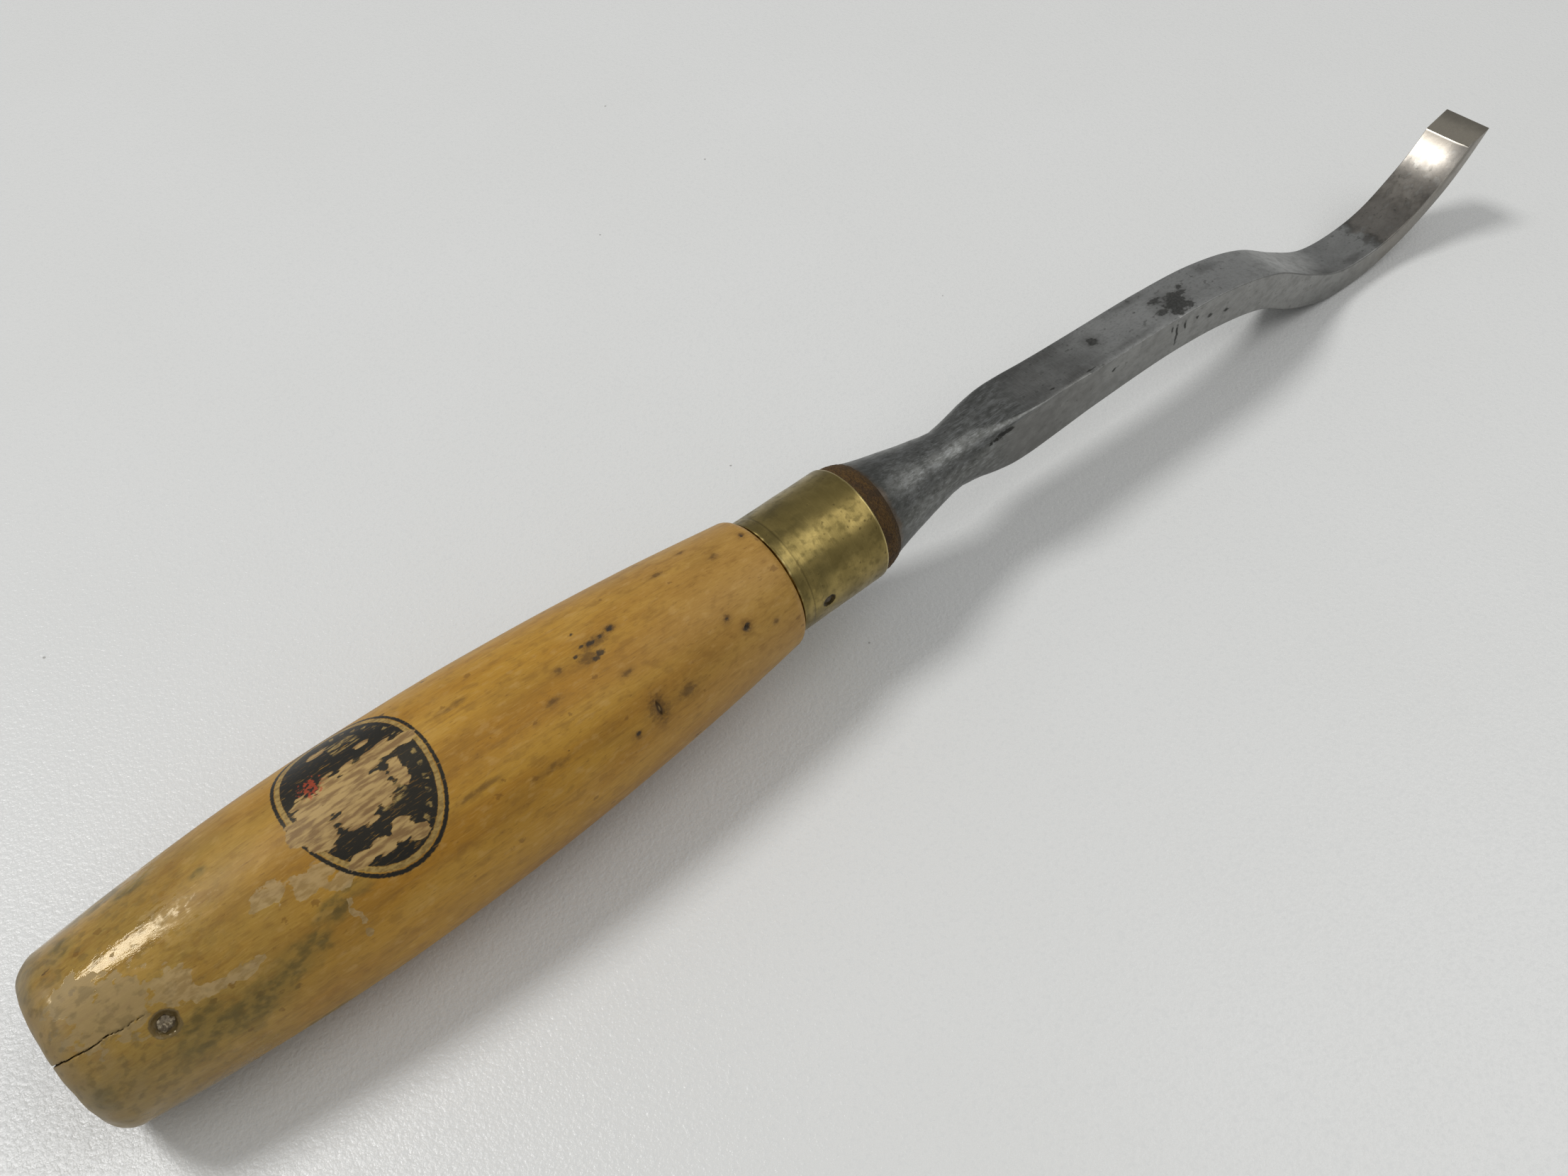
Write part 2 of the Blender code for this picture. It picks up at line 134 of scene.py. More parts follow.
STAINS = [
    (-58, -5.7, 1.2, 0.9), (-61.8, -8, 3.0, 1.2), (-64.6, -14, 2.2, 1.4), (-38.9, -40.7, 0.9, 0.8),
    (-60.5, -33.4, 1.2, 0.6), (-74.3, -24.2, 1.6, 0.6), (-36.6, 22, 1.0, 0.5),
    (-25.1, 8.2, 0.6, 0.9), (-52.2, -63.5, 2.0, 1.3), (-58.8, -61.6, 2.2, 3.2),
    (-64.5, -67, 1.0, 0.8), (-36.1, -53.7, 1.3, 1.1), (-30, -64, 0.8, 0.6),
    (-70.3, -11.5, 0.8, 0.6), (-44, 12, 1.6, 0.6), (-33, 2, 1.0, 0.7),
    (-60, 95, 1.4, 0.8), (-86, 160, 1.8, 0.8), (-48, -150, 1.2, 0.8), (-100, -175, 1.6, 0.9),
]
BLACK_SPOTS = [
    (-58.1, -5.7, 0.8, 0.6), (-60.4, -7.0, 0.6, 0.35), (-62.6, -7.6, 0.9, 0.5),
    (-64.4, -6.5, 0.6, 0.35), (-62.3, -15.6, 0.9, 0.6), (-63.6, -17.2, 0.7, 0.5),
    (-66.3, -10.2, 0.5, 0.4), (-64.2, 4, 0.5, 0.35), WORMHOLE,
    (-64.3, -66, 0.5, 0.4), (-38.9, -40.7, 0.35, 0.3), (-25.3, 7, 0.4, 0.5),
]
OVAL = (-107.9, -2.3, 12.86, 17.8)  # the transfer: middle, and half sizes along and round
OVAL_TURN = math.radians(4.3)
OVAL_WEAR = [
    (-97.8, 4.0, 2.0, 1.4), (-101, 4.6, 2.4, 1.6), (-104.5, 3.6, 2.4, 1.8), (-107.5, 0, 3.0, 3.2),
    (-111.4, -3, 3.4, 4.2), (-116, -4, 3.0, 4.0), (-119, -9, 2.4, 2.6), (-105.7, -11, 2.6, 3.6),
    (-110.2, -15, 3.4, 3.4), (-101.5, -10, 1.4, 2.8), (-117, -18, 2.4, 2.2),
    (-113.8, -36, 2.4, 1.4), (-110.2, -36, 2.6, 1.5), (-106.2, -35, 2.2, 1.9),
    (-104.4, -40, 1.8, 1.3), (-103.7, 15.6, 1.4, 0.6), (-110.1, 30.5, 2.2, 0.9),
]

FAR = -2.0  # the nearness of a point that no mark is near

# Marks on the blade: distance along the tool, place across the face, half sizes
UPPER_PITS = [
    (100.1, -2.3, 3.9, 2.7), (96.6, 1.6, 2.4, 0.9), (104.0, 0.0, 2.6, 0.9), (98.2, -4.4, 2.2, 1.4),
    (94.8, -2.4, 2.2, 1.0), (101.6, 0.0, 2.6, 1.6), (74.4, 1.0, 1.5, 1.4), (105.8, 2.0, 1.4, 0.6),
    (102.4, -4.2, 1.6, 1.2), (112.0, 2.9, 0.8, 0.5), (55.6, -4.4, 1.0, 0.4),
    (67.0, -5.2, 1.4, 0.3),
]
# rust pits on the side face; the last four, by the bolster, are a streak of painted shade along the edge of
# the facet
SIDE_PITS_AND_SHADE = [
    (96.4, 0.4, 0.45, 3.6), (99.4, 1.8, 0.4, 1.8), (94.6, 2.4, 0.4, 1.0), (109.0, 0.6, 1.1, 0.6),
    (115.5, -0.6, 1.3, 0.5), (74.5, 1.9, 1.0, 0.5), (103.6, 2.2, 0.8, 0.4),
    (127.0, 1.6, 1.0, 0.3), (40.2, 5.5, 1.5, 0.55), (38.4, 5.2, 1.6, 0.45),
    (36.6, 4.7, 1.4, 0.3), (34.8, 4.2, 1.3, 0.2),
]
SMUDGES = [  # soft dark stains on the upper face
    (42.0, -1.5, 5.0, 3.5), (40.0, 3.5, 6.0, 2.0), (53.0, -4.0, 5.0, 1.6), (64.0, -4.6, 7.0, 1.4),
    (60.0, 4.8, 9.0, 1.3), (82.0, -4.6, 8.0, 1.3), (100.0, -1.0, 6.5, 4.5), (118.0, 3.6, 6.0, 1.6),
    (91.0, 5.0, 8.0, 1.0), (159.0, -4.6, 7.0, 1.6), (177.0, -4.4, 5.0, 1.6), (74.4, 1.2, 3.2, 2.6),
    (212.0, -4.4, 3.0, 1.8),
]

# Table and camera, in the world's metres
TABLE_HALF_WIDTH = 3.0
TABLE_DROP = 0.0002  # keeps the table clear of the lowest pieces
CAMERA_PLACE = Vector((-0.16330, -0.13843, 0.22822))
CAMERA_RIGHT = Vector((0.76132, -0.64834, -0.00729))
CAMERA_FORWARD = Vector((0.41735, 0.49862, -0.75974))
CAMERA_LENS = 31.44  # millimetres, for a sensor 36 mm wide


# ---------------------------------------------------------------- geometry

def tool_frame():
    """Matrix from the tool's own frame to the world, read from the mount on the butt."""
    butt = next(m for m in frame["record"]["mounts"] if m["name"] == "butt_face")
    along = -Vector(butt["axis"]).normalized()
    side = Vector((0.0, 1.0, 0.0))
    turn = Matrix((along, side, along.cross(side))).transposed().to_4x4()
    origin = Vector(butt["pos_m"]) - along * BUTT_X * MM
    return Matrix.Translation(origin) @ turn


TOOL = tool_frame()


def smooth_values(stations, x):
    """Columns of values at the distances x on a smooth curve through the stations."""
    table = np.array(stations)
    knots, values = table[:, 0], table[:, 1:]
    slopes = np.empty_like(values)
    slopes[1:-1] = (values[2:] - values[:-2]) / (knots[2:] - knots[:-2])[:, None]
    slopes[0] = (values[1] - values[0]) / (knots[1] - knots[0])
    slopes[-1] = (values[-1] - values[-2]) / (knots[-1] - knots[-2])
    x = np.atleast_1d(x).astype(float)
    index = np.clip(np.searchsorted(knots, x, side="right") - 1, 0, len(knots) - 2)
    span = (knots[index + 1] - knots[index])[:, None]
    t = (x - knots[index])[:, None] / span
    return ((2 * t**3 - 3 * t**2 + 1) * values[index] + (t**3 - 2 * t**2 + t) * span * slopes[index]
            + (3 * t**2 - 2 * t**3) * values[index + 1] + (t**3 - t**2) * span * slopes[index + 1])


def spread(start, end, step):
    """Evenly spaced values from start to end, both included, about a step apart."""
    return np.linspace(start, end, max(2, round(abs(end - start) / step) + 1))


def arc(centre, radius, start_degrees, end_degrees, step):
    """Points of an arc, both ends included, about a step apart."""
    angles = np.radians(spread(start_degrees, end_degrees, math.degrees(step / radius)))
    return [(centre[0] + radius * math.cos(a), centre[1] + radius * math.sin(a)) for a in angles]


def grid_faces(rows, columns, closed_rows):
    """Four-sided faces over a grid of points that closes on itself across its columns."""
    row = np.arange(rows if closed_rows else rows - 1)[:, None]
    column = np.arange(columns)[None, :]
    here, ahead = row * columns, (row + 1) % rows * columns
    beside = (column + 1) % columns
    return np.stack([here + column, here + beside, ahead + beside, ahead + column], -1).reshape(-1, 4)


def make_mesh(name, points, closed_rows=False):
    """Mesh through a rows x columns x 3 array of points; open rows get a face at each end."""
    rows, columns, _ = points.shape
    faces = grid_faces(rows, columns, closed_rows).tolist()
    if not closed_rows:
        faces.append(list(range(columns)))
        faces.append(list(range((rows - 1) * columns, rows * columns)))
    mesh = bpy.data.meshes.new(name)
    mesh.from_pydata((points.reshape(-1, 3) * MM).tolist(), [], faces)
    bm = bmesh.new()
    bm.from_mesh(mesh)
    bmesh.ops.remove_doubles(bm, verts=bm.verts, dist=MERGE_DISTANCE)
    bmesh.ops.recalc_face_normals(bm, faces=bm.faces)
    bm.to_mesh(mesh)
    bm.free()
    return mesh


def turned(profile, angles):
    """Points of a profile of (x, r) turned to each of the angles round the tool's axis."""
    x, r = np.array(profile).T
    points = np.empty((len(x), len(angles), 3))
    points[..., 0] = x[:, None]
    points[..., 1] = r[:, None] * np.sin(angles)
    points[..., 2] = r[:, None] * np.cos(angles)
    return points


def full_turn(count):
    """Evenly spaced angles round a circle."""
    return np.linspace(0, 2 * math.pi, count, endpoint=False)


def read_points(mesh, what="co"):
    """Every vertex's place in millimetres, or its normal."""
    values = np.empty(len(mesh.vertices) * 3)
    mesh.vertices.foreach_get(what, values)
    values = values.reshape(-1, 3)
    return values / MM if what == "co" else values


def displace(mesh, amount):
    """Move every vertex along its normal by amount(points), in millimetres."""
    points, normals = read_points(mesh), read_points(mesh, "normal")
    moved = points + normals * amount(points)[:, None]
    mesh.vertices.foreach_set("co", (moved * MM).ravel())
    mesh.update()


def paint(mesh, name, values):
    """Store one number for each vertex, which a material then reads by name."""
    mesh.attributes.new(name, "FLOAT", "POINT").data.foreach_set("value", values.astype(np.float32))


def noise_at(points, size, stretch=1.0, seed=0.0):
    """Smooth noise between -1 and 1 with features of a size, stretched along the tool."""
    scaled = points / (size * np.array([stretch, 1.0, 1.0])) + seed
    return np.array([noise.noise(Vector(point)) for point in scaled])


def fade(value, low, high):
    """0 at low, 1 at high, smooth between them."""
    t = np.clip((value - low) / (high - low), 0.0, 1.0)
    return t * t * (3 - 2 * t)


def around(points):
    """Each point's angle round the tool in degrees, and its distance from the axis."""
    return np.degrees(np.arctan2(points[:, 1], points[:, 2])), np.hypot(points[:, 1], points[:, 2])


def nearness(points, spots):
    """1 in the middle of the nearest spot, 0 on its rim and falling on outside it."""
    angle, radius = around(points)
    best = np.full(len(points), FAR)
    for x, spot_angle, length, width in spots:
        turned_by = (angle - spot_angle + 180) % 360 - 180
        away = np.hypot((points[:, 0] - x) / length, np.radians(turned_by) * radius / width)
        best = np.maximum(best, 1 - away)
    return best


def up_bevel(x, z):
    """Distance up the slope of the bevel from its heel."""
    return (x - BEVEL_HEEL.x) * BEVEL_ALONG.x + (z - BEVEL_HEEL.z) * BEVEL_ALONG.z


def above_bevel(x, z):
    """Distance above the plane of the bevel."""
    return (z - BEVEL_HEEL.z) * BEVEL_ALONG.x - (x - BEVEL_HEEL.x) * BEVEL_ALONG.z


def add_object(name, data):
    """Put a new object in the scene."""
    thing = bpy.data.objects.new(name, data)
    bpy.context.scene.collection.objects.link(thing)
    return thing


def finish_piece(name, mesh, material, node, sharp_degrees=35):
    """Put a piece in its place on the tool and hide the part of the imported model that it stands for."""
    mesh.shade_smooth()
    mesh.set_sharp_from_angle(angle=math.radians(sharp_degrees))
    mesh.materials.append(material)
    mesh.transform(TOOL)
    piece = add_object(name, mesh)
    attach(piece, "root")
    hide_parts(node)


# ---------------------------------------------------------------- materials

class Value:
    """A number that varies over a surface. Arithmetic on it adds Math nodes."""

    def __init__(self, shader, socket):
        self.shader, self.socket = shader, socket

    def __add__(self, other):
        return self.shader.math("ADD", self, other)

    def __sub__(self, other):
        return self.shader.math("SUBTRACT", self, other)

    def __rsub__(self, other):
        return self.shader.math("SUBTRACT", other, self)

    def __mul__(self, other):
        return self.shader.math("MULTIPLY", self, other)

    def __truediv__(self, other):
        return self.shader.math("DIVIDE", self, other)

    def __abs__(self):
        return self.shader.math("ABSOLUTE", self)

    __radd__ = __add__
    __rmul__ = __mul__


class Shader:
    """A Principled material with the tool's own coordinates, in millimetres."""

    def __init__(self, name):
        self.material = bpy.data.materials.new(name)
        self.material.use_nodes = True
        self.tree = self.material.node_tree
        self.surface = self.tree.nodes["Principled BSDF"]
        self.colour = None  # what the coats of colour so far come to
        back = TOOL.inverted()
        self.place = self.add("ShaderNodeMapping", {
            "Vector": self.add("ShaderNodeTexCoord").outputs["Object"],
            "Location": back.translation / MM,
            "Rotation": back.to_euler(),
            "Scale": (1 / MM,) * 3,
        }).outputs[0]
        split = self.add("ShaderNodeSeparateXYZ", {"Vector": self.place})
        self.x, self.y, self.z = (Value(self, split.outputs[axis]) for axis in "XYZ")

    def add(self, kind, inputs=None, **settings):
        node = self.tree.nodes.new(kind)
        for key, value in settings.items():
            setattr(node, key, value)
        for key, value in (inputs or {}).items():
            self.put(node.inputs[key], value)
        return node

    def put(self, socket, value):
        if isinstance(value, Value):
            value = value.socket
        if isinstance(value, bpy.types.NodeSocket):
            self.tree.links.new(value, socket)
        elif isinstance(value, tuple) and socket.type == "RGBA":
            socket.default_value = (*value, 1.0)
        else:
            socket.default_value = value

    def math(self, operation, first, second=0.0):
        node = self.add("ShaderNodeMath", {0: first, 1: second}, operation=operation)
        return Value(self, node.outputs[0])

    def scaled(self, size, stretch, seed):
        """The place in units of a size, longer along the tool, moved on by a seed."""
        scale = (1 / (size * stretch), 1 / size, 1 / size)
        return self.add("ShaderNodeVectorMath", {0: self.place, 1: scale, 2: (seed,) * 3},
                        operation="MULTIPLY_ADD").outputs[0]

    def noise(self, size, stretch=1.0, seed=0.0, detail=2.0):
        """Noise from 0 to 1 with features of a size, stretched along the tool."""
        node = self.add("ShaderNodeTexNoise", {
            "Vector": self.scaled(size, stretch, seed), "Scale": 1.0, "Detail": detail})
        return Value(self, node.outputs["Fac"])

    def specks(self, size, stretch=1.0, seed=0.0):
        """Distance from scattered points a size apart, from 0 at a point."""
        node = self.add("ShaderNodeTexVoronoi", {
            "Vector": self.scaled(size, stretch, seed), "Scale": 1.0})
        return Value(self, node.outputs["Distance"])

    def attribute(self, name):
        return Value(self, self.add("ShaderNodeAttribute", attribute_name=name).outputs["Fac"])

    def step(self, value, low, high):
        """0 at low, 1 at high, smooth between them; low may be the larger one."""
        node = self.add("ShaderNodeMapRange", {"Value": value, "From Min": low, "From Max": high},
                        interpolation_type="SMOOTHSTEP")
        return Value(self, node.outputs[0])

    def band(self, value, low, high, soft):
        """1 between low and high."""
        return self.step(value, low - soft, low + soft) * self.step(value, high + soft, high - soft)

    # A Mix node's sockets: 0 is its factor, 2 and 3 are its numbers, 6 and 7 its colours.

    def mix(self, share, first, second):
        """Colour that goes from the first to the second as share goes from 0 to 1."""
        node = self.add("ShaderNodeMix", {0: share, 6: first, 7: second}, data_type="RGBA")
        return node.outputs[2]

    def coat(self, share, shade):
        """Lay a shade over the colour so far, thicker as share goes from 0 to 1."""
        self.colour = self.mix(share, self.colour, shade)

    def blend(self, share, first, second):
        """Number that goes from the first to the second as share goes from 0 to 1."""
        node = self.add("ShaderNodeMix", {0: share, 2: first, 3: second}, data_type="FLOAT")
        return Value(self, node.outputs[0])

    def bump(self, height, distance):
        """Relief: height 1 stands out by distance, in millimetres."""
        node = self.add("ShaderNodeBump", {"Height": height, "Distance": distance * MM, "Strength": 1.0})
        self.put(self.surface.inputs["Normal"], node.outputs[0])

    def set(self, **values):
        """Give the surface's sockets their values; base_color is the socket Base Color."""
        for key, value in values.items():
            name = key.replace("_", " ").title().replace("Ior", "IOR")
            self.put(self.surface.inputs[name], value)


def srgb(red, green, blue):
    """Linear colour from display values of 0 to 255."""
    return tuple(((c / 255 + 0.055) / 1.055) ** 2.4 for c in (red, green, blue))


def ragged(s, near, size, amount, seed, stretch=2.0, low=-0.04, high=0.1):
    """Patch with a torn edge, from a stored nearness."""
    torn = s.noise(size, stretch, seed, detail=6) - 0.5
    return s.step(near + torn * amount, low, high)


def wood_colour(s):
    """Varnished beech: ochre figure, short brown pores, mottling, paler towards the ferrule."""
    figure = s.noise(5.0, 12.0, 3.1, detail=4)
    s.colour = s.mix(s.step(figure, 0.36, 0.66), srgb(184, 139, 54), srgb(168, 120, 41))
    pale = s.step(s.x, -78.0, -26.0)
    s.coat(pale * 0.6, srgb(172, 136, 76))
    dull = s.step(s.x + s.noise(11.0, 1.6, 8.0, detail=4) * 50.0, -84.0, -124.0)
    s.coat(dull * 0.75, srgb(150, 125, 67))
    # painted shade: the handle's lower side is darker from its middle to the ferrule
    painted_shade_below = s.step(s.z, 6.0, -14.0) * s.step(s.x, -112.0, -94.0)
    s.coat(painted_shade_below * 0.4, srgb(128, 92, 38))
    cloud = s.noise(8.0, 1.8, 28.0, detail=5)
    s.coat(s.step(cloud, 0.5, 0.66) * 0.34, srgb(146, 108, 46))
    s.coat(s.step(cloud, 0.46, 0.34) * 0.3, srgb(190, 150, 76))
    streak = s.noise(0.8, 24.0, 1.7, detail=6)
    s.coat(s.step(streak, 0.5, 0.72) * 0.3, srgb(126, 88, 38))
    fine = s.noise(0.24, 9.0, 5.2, detail=4)
    s.coat(s.step(fine, 0.5, 0.76) * 0.3, srgb(122, 84, 36))
    s.coat(s.step(fine, 0.46, 0.26) * 0.2, srgb(206, 168, 104))
    mottle = s.noise(1.7, 1.8, 2.6, detail=6)
    s.coat(s.step(mottle, 0.52, 0.68) * 0.36, srgb(130, 92, 40))
    s.coat(s.step(mottle, 0.44, 0.3) * 0.26, srgb(200, 162, 100))
    pores = s.step(s.noise(0.34, 4.5, 9.4, detail=3), 0.64, 0.7)
    s.coat(pores * 0.3, srgb(98, 64, 28))
    return streak


def speckle(s):
    """Brown specks in loose clusters, a few of them dark."""
    crowd = s.step(s.noise(11.0, 1.6, 35.0), 0.36, 0.64)
    torn = s.noise(0.5, 1.4, 2.0, detail=5) - 0.5
    reach = s.specks(3.4, 1.3, 4.0) + torn * 0.34
    s.coat(s.step(reach, crowd * 0.2, crowd * 0.2 - 0.07) * 0.5, srgb(108, 72, 30))
    reach = s.specks(8.5, 1.4, 11.0) + torn * 0.2
    s.coat(s.step(reach, crowd * 0.1, crowd * 0.1 - 0.03) * 0.75, srgb(70, 48, 28))


def transfer(s, wear):
    """Oval transfer: black field, gold ring, thin outer line, plain bars and ticks, all worn."""
    centre_x, centre_angle, half_length, half_width = OVAL
    radius = max(station_radius for _, station_radius in HANDLE_STATIONS)
    along = s.x - centre_x
    across = (s.math("ARCTAN2", s.y, s.z) - math.radians(centre_angle)) * radius
    cosine, sine = math.cos(OVAL_TURN), math.sin(OVAL_TURN)
    u = (along * cosine + across * sine) / half_length
    v = (across * cosine - along * sine) / half_width
    reach = s.math("SQRT", u * u + v * v) + (s.noise(0.4, 1.5, 7.0, detail=4) - 0.5) * 0.03
    kept = 1.0 - wear
    line = s.band(reach, 0.953, 1.0, 0.008) * kept
    ring = s.band(reach, 0.885, 0.942, 0.008) * kept
    field = s.step(reach, 0.89, 0.874) * kept
    bearing = s.math("ARCTAN2", v, u)
    tick = s.step(s.math("SINE", bearing * 34.0), 0.1, 0.5) * s.band(reach, 0.755, 0.82, 0.012)
    tick = tick * s.step(u, 0.05, 0.12)
    bar = s.band(abs(u - 0.22), 0.0, 0.2, 0.02) * s.step(s.math("SINE", v * 15.0), -0.1, 0.25)
    bar = bar * s.step(reach, 0.7, 0.67)
    scuff = s.step(s.noise(0.6, 4.0, 14.0, detail=5), 0.46, 0.6)
    gold = s.math("MAXIMUM", tick, bar) * scuff * field
    rub = s.step(s.noise(0.3, 6.0, 19.0, detail=5), 0.58, 0.7)
    gilt = s.mix(s.step(s.noise(0.5, 2.0, 25.0, detail=5), 0.4, 0.62), srgb(168, 142, 86), srgb(128, 106, 62))
    s.coat(ring * 0.85, gilt)
    ink = s.math("MAXIMUM", line, field)
    s.coat(ink * (1.0 - rub * 0.3), srgb(29, 29, 28))
    s.coat(gold * 0.85, gilt)
    away = s.math("SQRT", (u + 0.44) * (u + 0.44) + (v - 0.25) * (v - 0.25))
    red = s.step(away + (s.noise(0.6, 1.2, 23.0, detail=5) - 0.5) * 0.7, 0.12, 0.04)
    s.coat(red * 0.7, srgb(176, 70, 42))
    return ink


def make_wood():
    s = Shader("varnished_wood")
    streak = wood_colour(s)
    speckle(s)

    grime = ragged(s, s.attribute("grime"), 2.4, 1.7, 31.0, 1.5, -0.35, 0.6)
    soot = s.step(s.noise(1.7, 1.5, 17.0, detail=6), 0.42, 0.62)
    middle = s.step(s.x, -112.0, -98.0)
    s.coat(grime * 0.36, s.mix(middle, srgb(116, 104, 58), srgb(130, 92, 40)))
    s.coat(grime * soot * 0.55, s.mix(middle, srgb(74, 68, 40), srgb(96, 68, 34)))
    worn = ragged(s, s.attribute("worn"), 1.5, 2.4, 12.0, 1.3)
    dusty = s.mix(s.step(s.noise(0.8, 2.5, 15.0, detail=5), 0.4, 0.64),
                  srgb(184, 160, 118), srgb(150, 128, 90))
    dusty = s.mix(s.step(s.x, -143.0, -153.0), dusty, srgb(154, 134, 98))
    s.coat(worn * 0.62, dusty)
    end = s.step(s.x + (s.noise(4.0, 1.0, 21.0, detail=6) - 0.5) * 16.0, -156.0, -166.5)
    s.coat(end * 0.55, srgb(140, 126, 100))
    underside = s.step(s.x, -142.0, -158.0) * s.step(s.z, 14.0, 4.0)
    s.coat(underside * 0.4, srgb(142, 126, 88))
    scabs = s.step(s.noise(1.6, 1.2, 57.0, detail=6), 0.5, 0.64) * s.step(s.x, -120.0, -160.0)
    s.coat(scabs * 0.4, srgb(98, 84, 54))

    bared = ragged(s, s.attribute("wear"), 0.9, 1.5, 41.0, 3.4)
    scratched = s.step(s.noise(0.5, 9.0, 44.0, detail=3), 0.67, 0.73) * 0.7
    inside = s.step(s.attribute("wear"), -1.9, -1.2) * bared
    bare = s.mix(s.step(s.noise(0.8, 4.5, 47.0, detail=6), 0.4, 0.62),
                 srgb(180, 152, 102), srgb(124, 98, 68))
    s.coat(inside * 0.85, bare)
    ink = transfer(s, s.math("MAXIMUM", bared, scratched))

    stain = ragged(s, s.attribute("stain"), 0.6, 1.9, 51.0, 1.3, -0.3, 0.8)
    halo = ragged(s, s.attribute("stain"), 1.2, 1.6, 53.0, 1.5, -1.3, 0.5)
    dark = ragged(s, s.attribute("black"), 0.5, 1.8, 55.0, 1.3, -0.3, 0.4)
    s.coat(halo * 0.3, srgb(118, 84, 40))
    s.coat(stain * 0.7, srgb(84, 58, 32))
    s.coat(dark * 0.85, srgb(44, 40, 38))
    dent = s.attribute("dent")
    # painted shade: the inside of the dent is darker
    s.coat(s.step(dent, 0.1, 0.35) * 0.8, srgb(58, 42, 26))
    # painted highlight: a lighter line down the middle of the dent
    s.coat(s.step(dent, 0.62, 0.8) * 0.7, srgb(150, 122, 78))
    # painted shade: the inside of the split is near black
    s.coat(s.step(s.attribute("crack"), 0.03, 0.6), srgb(40, 30, 22))
    pit = s.attribute("pit") + (s.noise(0.6, 1.0, 63.0, detail=4) - 0.5) * 0.5
    s.coat(s.step(pit, 0.25, 0.6) * 0.72, srgb(92, 80, 58))

    dull = s.math("MAXIMUM", worn, s.math("MAXIMUM", end, grime * 0.5))
    gloss = s.step(s.x + (s.noise(0.8, 1.8, 71.0, detail=6) - 0.5) * 34.0, -147.0, -138.0) * 0.36
    rough = s.blend(dull, gloss + s.step(streak, 0.2, 0.8) * 0.03 + 0.06, 0.5)
    rough = s.blend(s.math("MAXIMUM", stain, dark), rough, 0.5)
    s.set(base_color=s.colour, roughness=s.blend(s.attribute("crack"), rough, 0.95),
          specular_ior_level=0.34, specular_tint=srgb(255, 240, 208))
    relief = streak * 0.3 + s.noise(0.4, 2.2, 61.0, detail=4) * 0.3 + ink * 0.12 - worn * 0.3
    relief = relief + s.noise(2.2, 1.6, 66.0, detail=4) * 0.9 - stain * 0.3 - scabs * 0.2
    s.bump(relief, 0.05)
    return s.material


def steel_tone(s, cloud, mottle, upper):
    """Dull steel: cloudy greys, darkest near the bolster and browner towards the edge; painted light on the
    shaft's upper face and painted shade on it short of the tip.
    """
    s.colour = s.mix(s.step(cloud, 0.34, 0.66), srgb(138, 138, 135), srgb(154, 154, 151))
    # painted light: the upper face of the shaft is lighter from 58 mm along, by half as much past 124 to 136
    # mm
    painted_light_on_top = upper * (s.step(s.x, 58.0, 84.0) - s.step(s.x, 124.0, 136.0) * 0.5)
    s.coat(painted_light_on_top * 0.55, srgb(190, 190, 187))
    near_bolster = s.step(s.x + (cloud - 0.5) * 26.0, 80.0, 46.0)
    s.coat(near_bolster * 0.75, srgb(104, 103, 99))
    smudge = ragged(s, s.attribute("smudged"), 1.6, 1.4, 77.0, 1.6, -0.4, 0.8)
    s.coat(smudge * 0.45, srgb(90, 89, 85))
    brown_end = s.step(s.x + (mottle - 0.5) * 8.0, 186.0, 189.0)
    s.coat(brown_end * 0.75, srgb(120, 113, 104))
    # painted shade: the upper face is darker from about 198 to 212 mm along, short of the tip's highlight
    painted_shade_before_tip = s.band(s.x, 198.0, 212.5, 3.0) * upper
    s.coat(painted_shade_before_tip * 0.5, srgb(92, 87, 80))
    band = s.band(s.x + (mottle - 0.5) * 9.0, 185.5, 189.5, 1.2) * s.step(abs(s.y - 0.8), 0.6, 2.6)
    s.coat(band * upper * 0.55, srgb(66, 65, 60))
    s.coat(s.step(mottle, 0.48, 0.68) * 0.26, srgb(100, 99, 96))
    s.coat(s.step(mottle, 0.47, 0.3) * 0.18, srgb(172, 173, 169))
    dusty = s.noise(0.5, 1.6, 38.0, detail=5)
    s.coat(s.step(dusty, 0.48, 0.72) * 0.3, srgb(95, 94, 91))


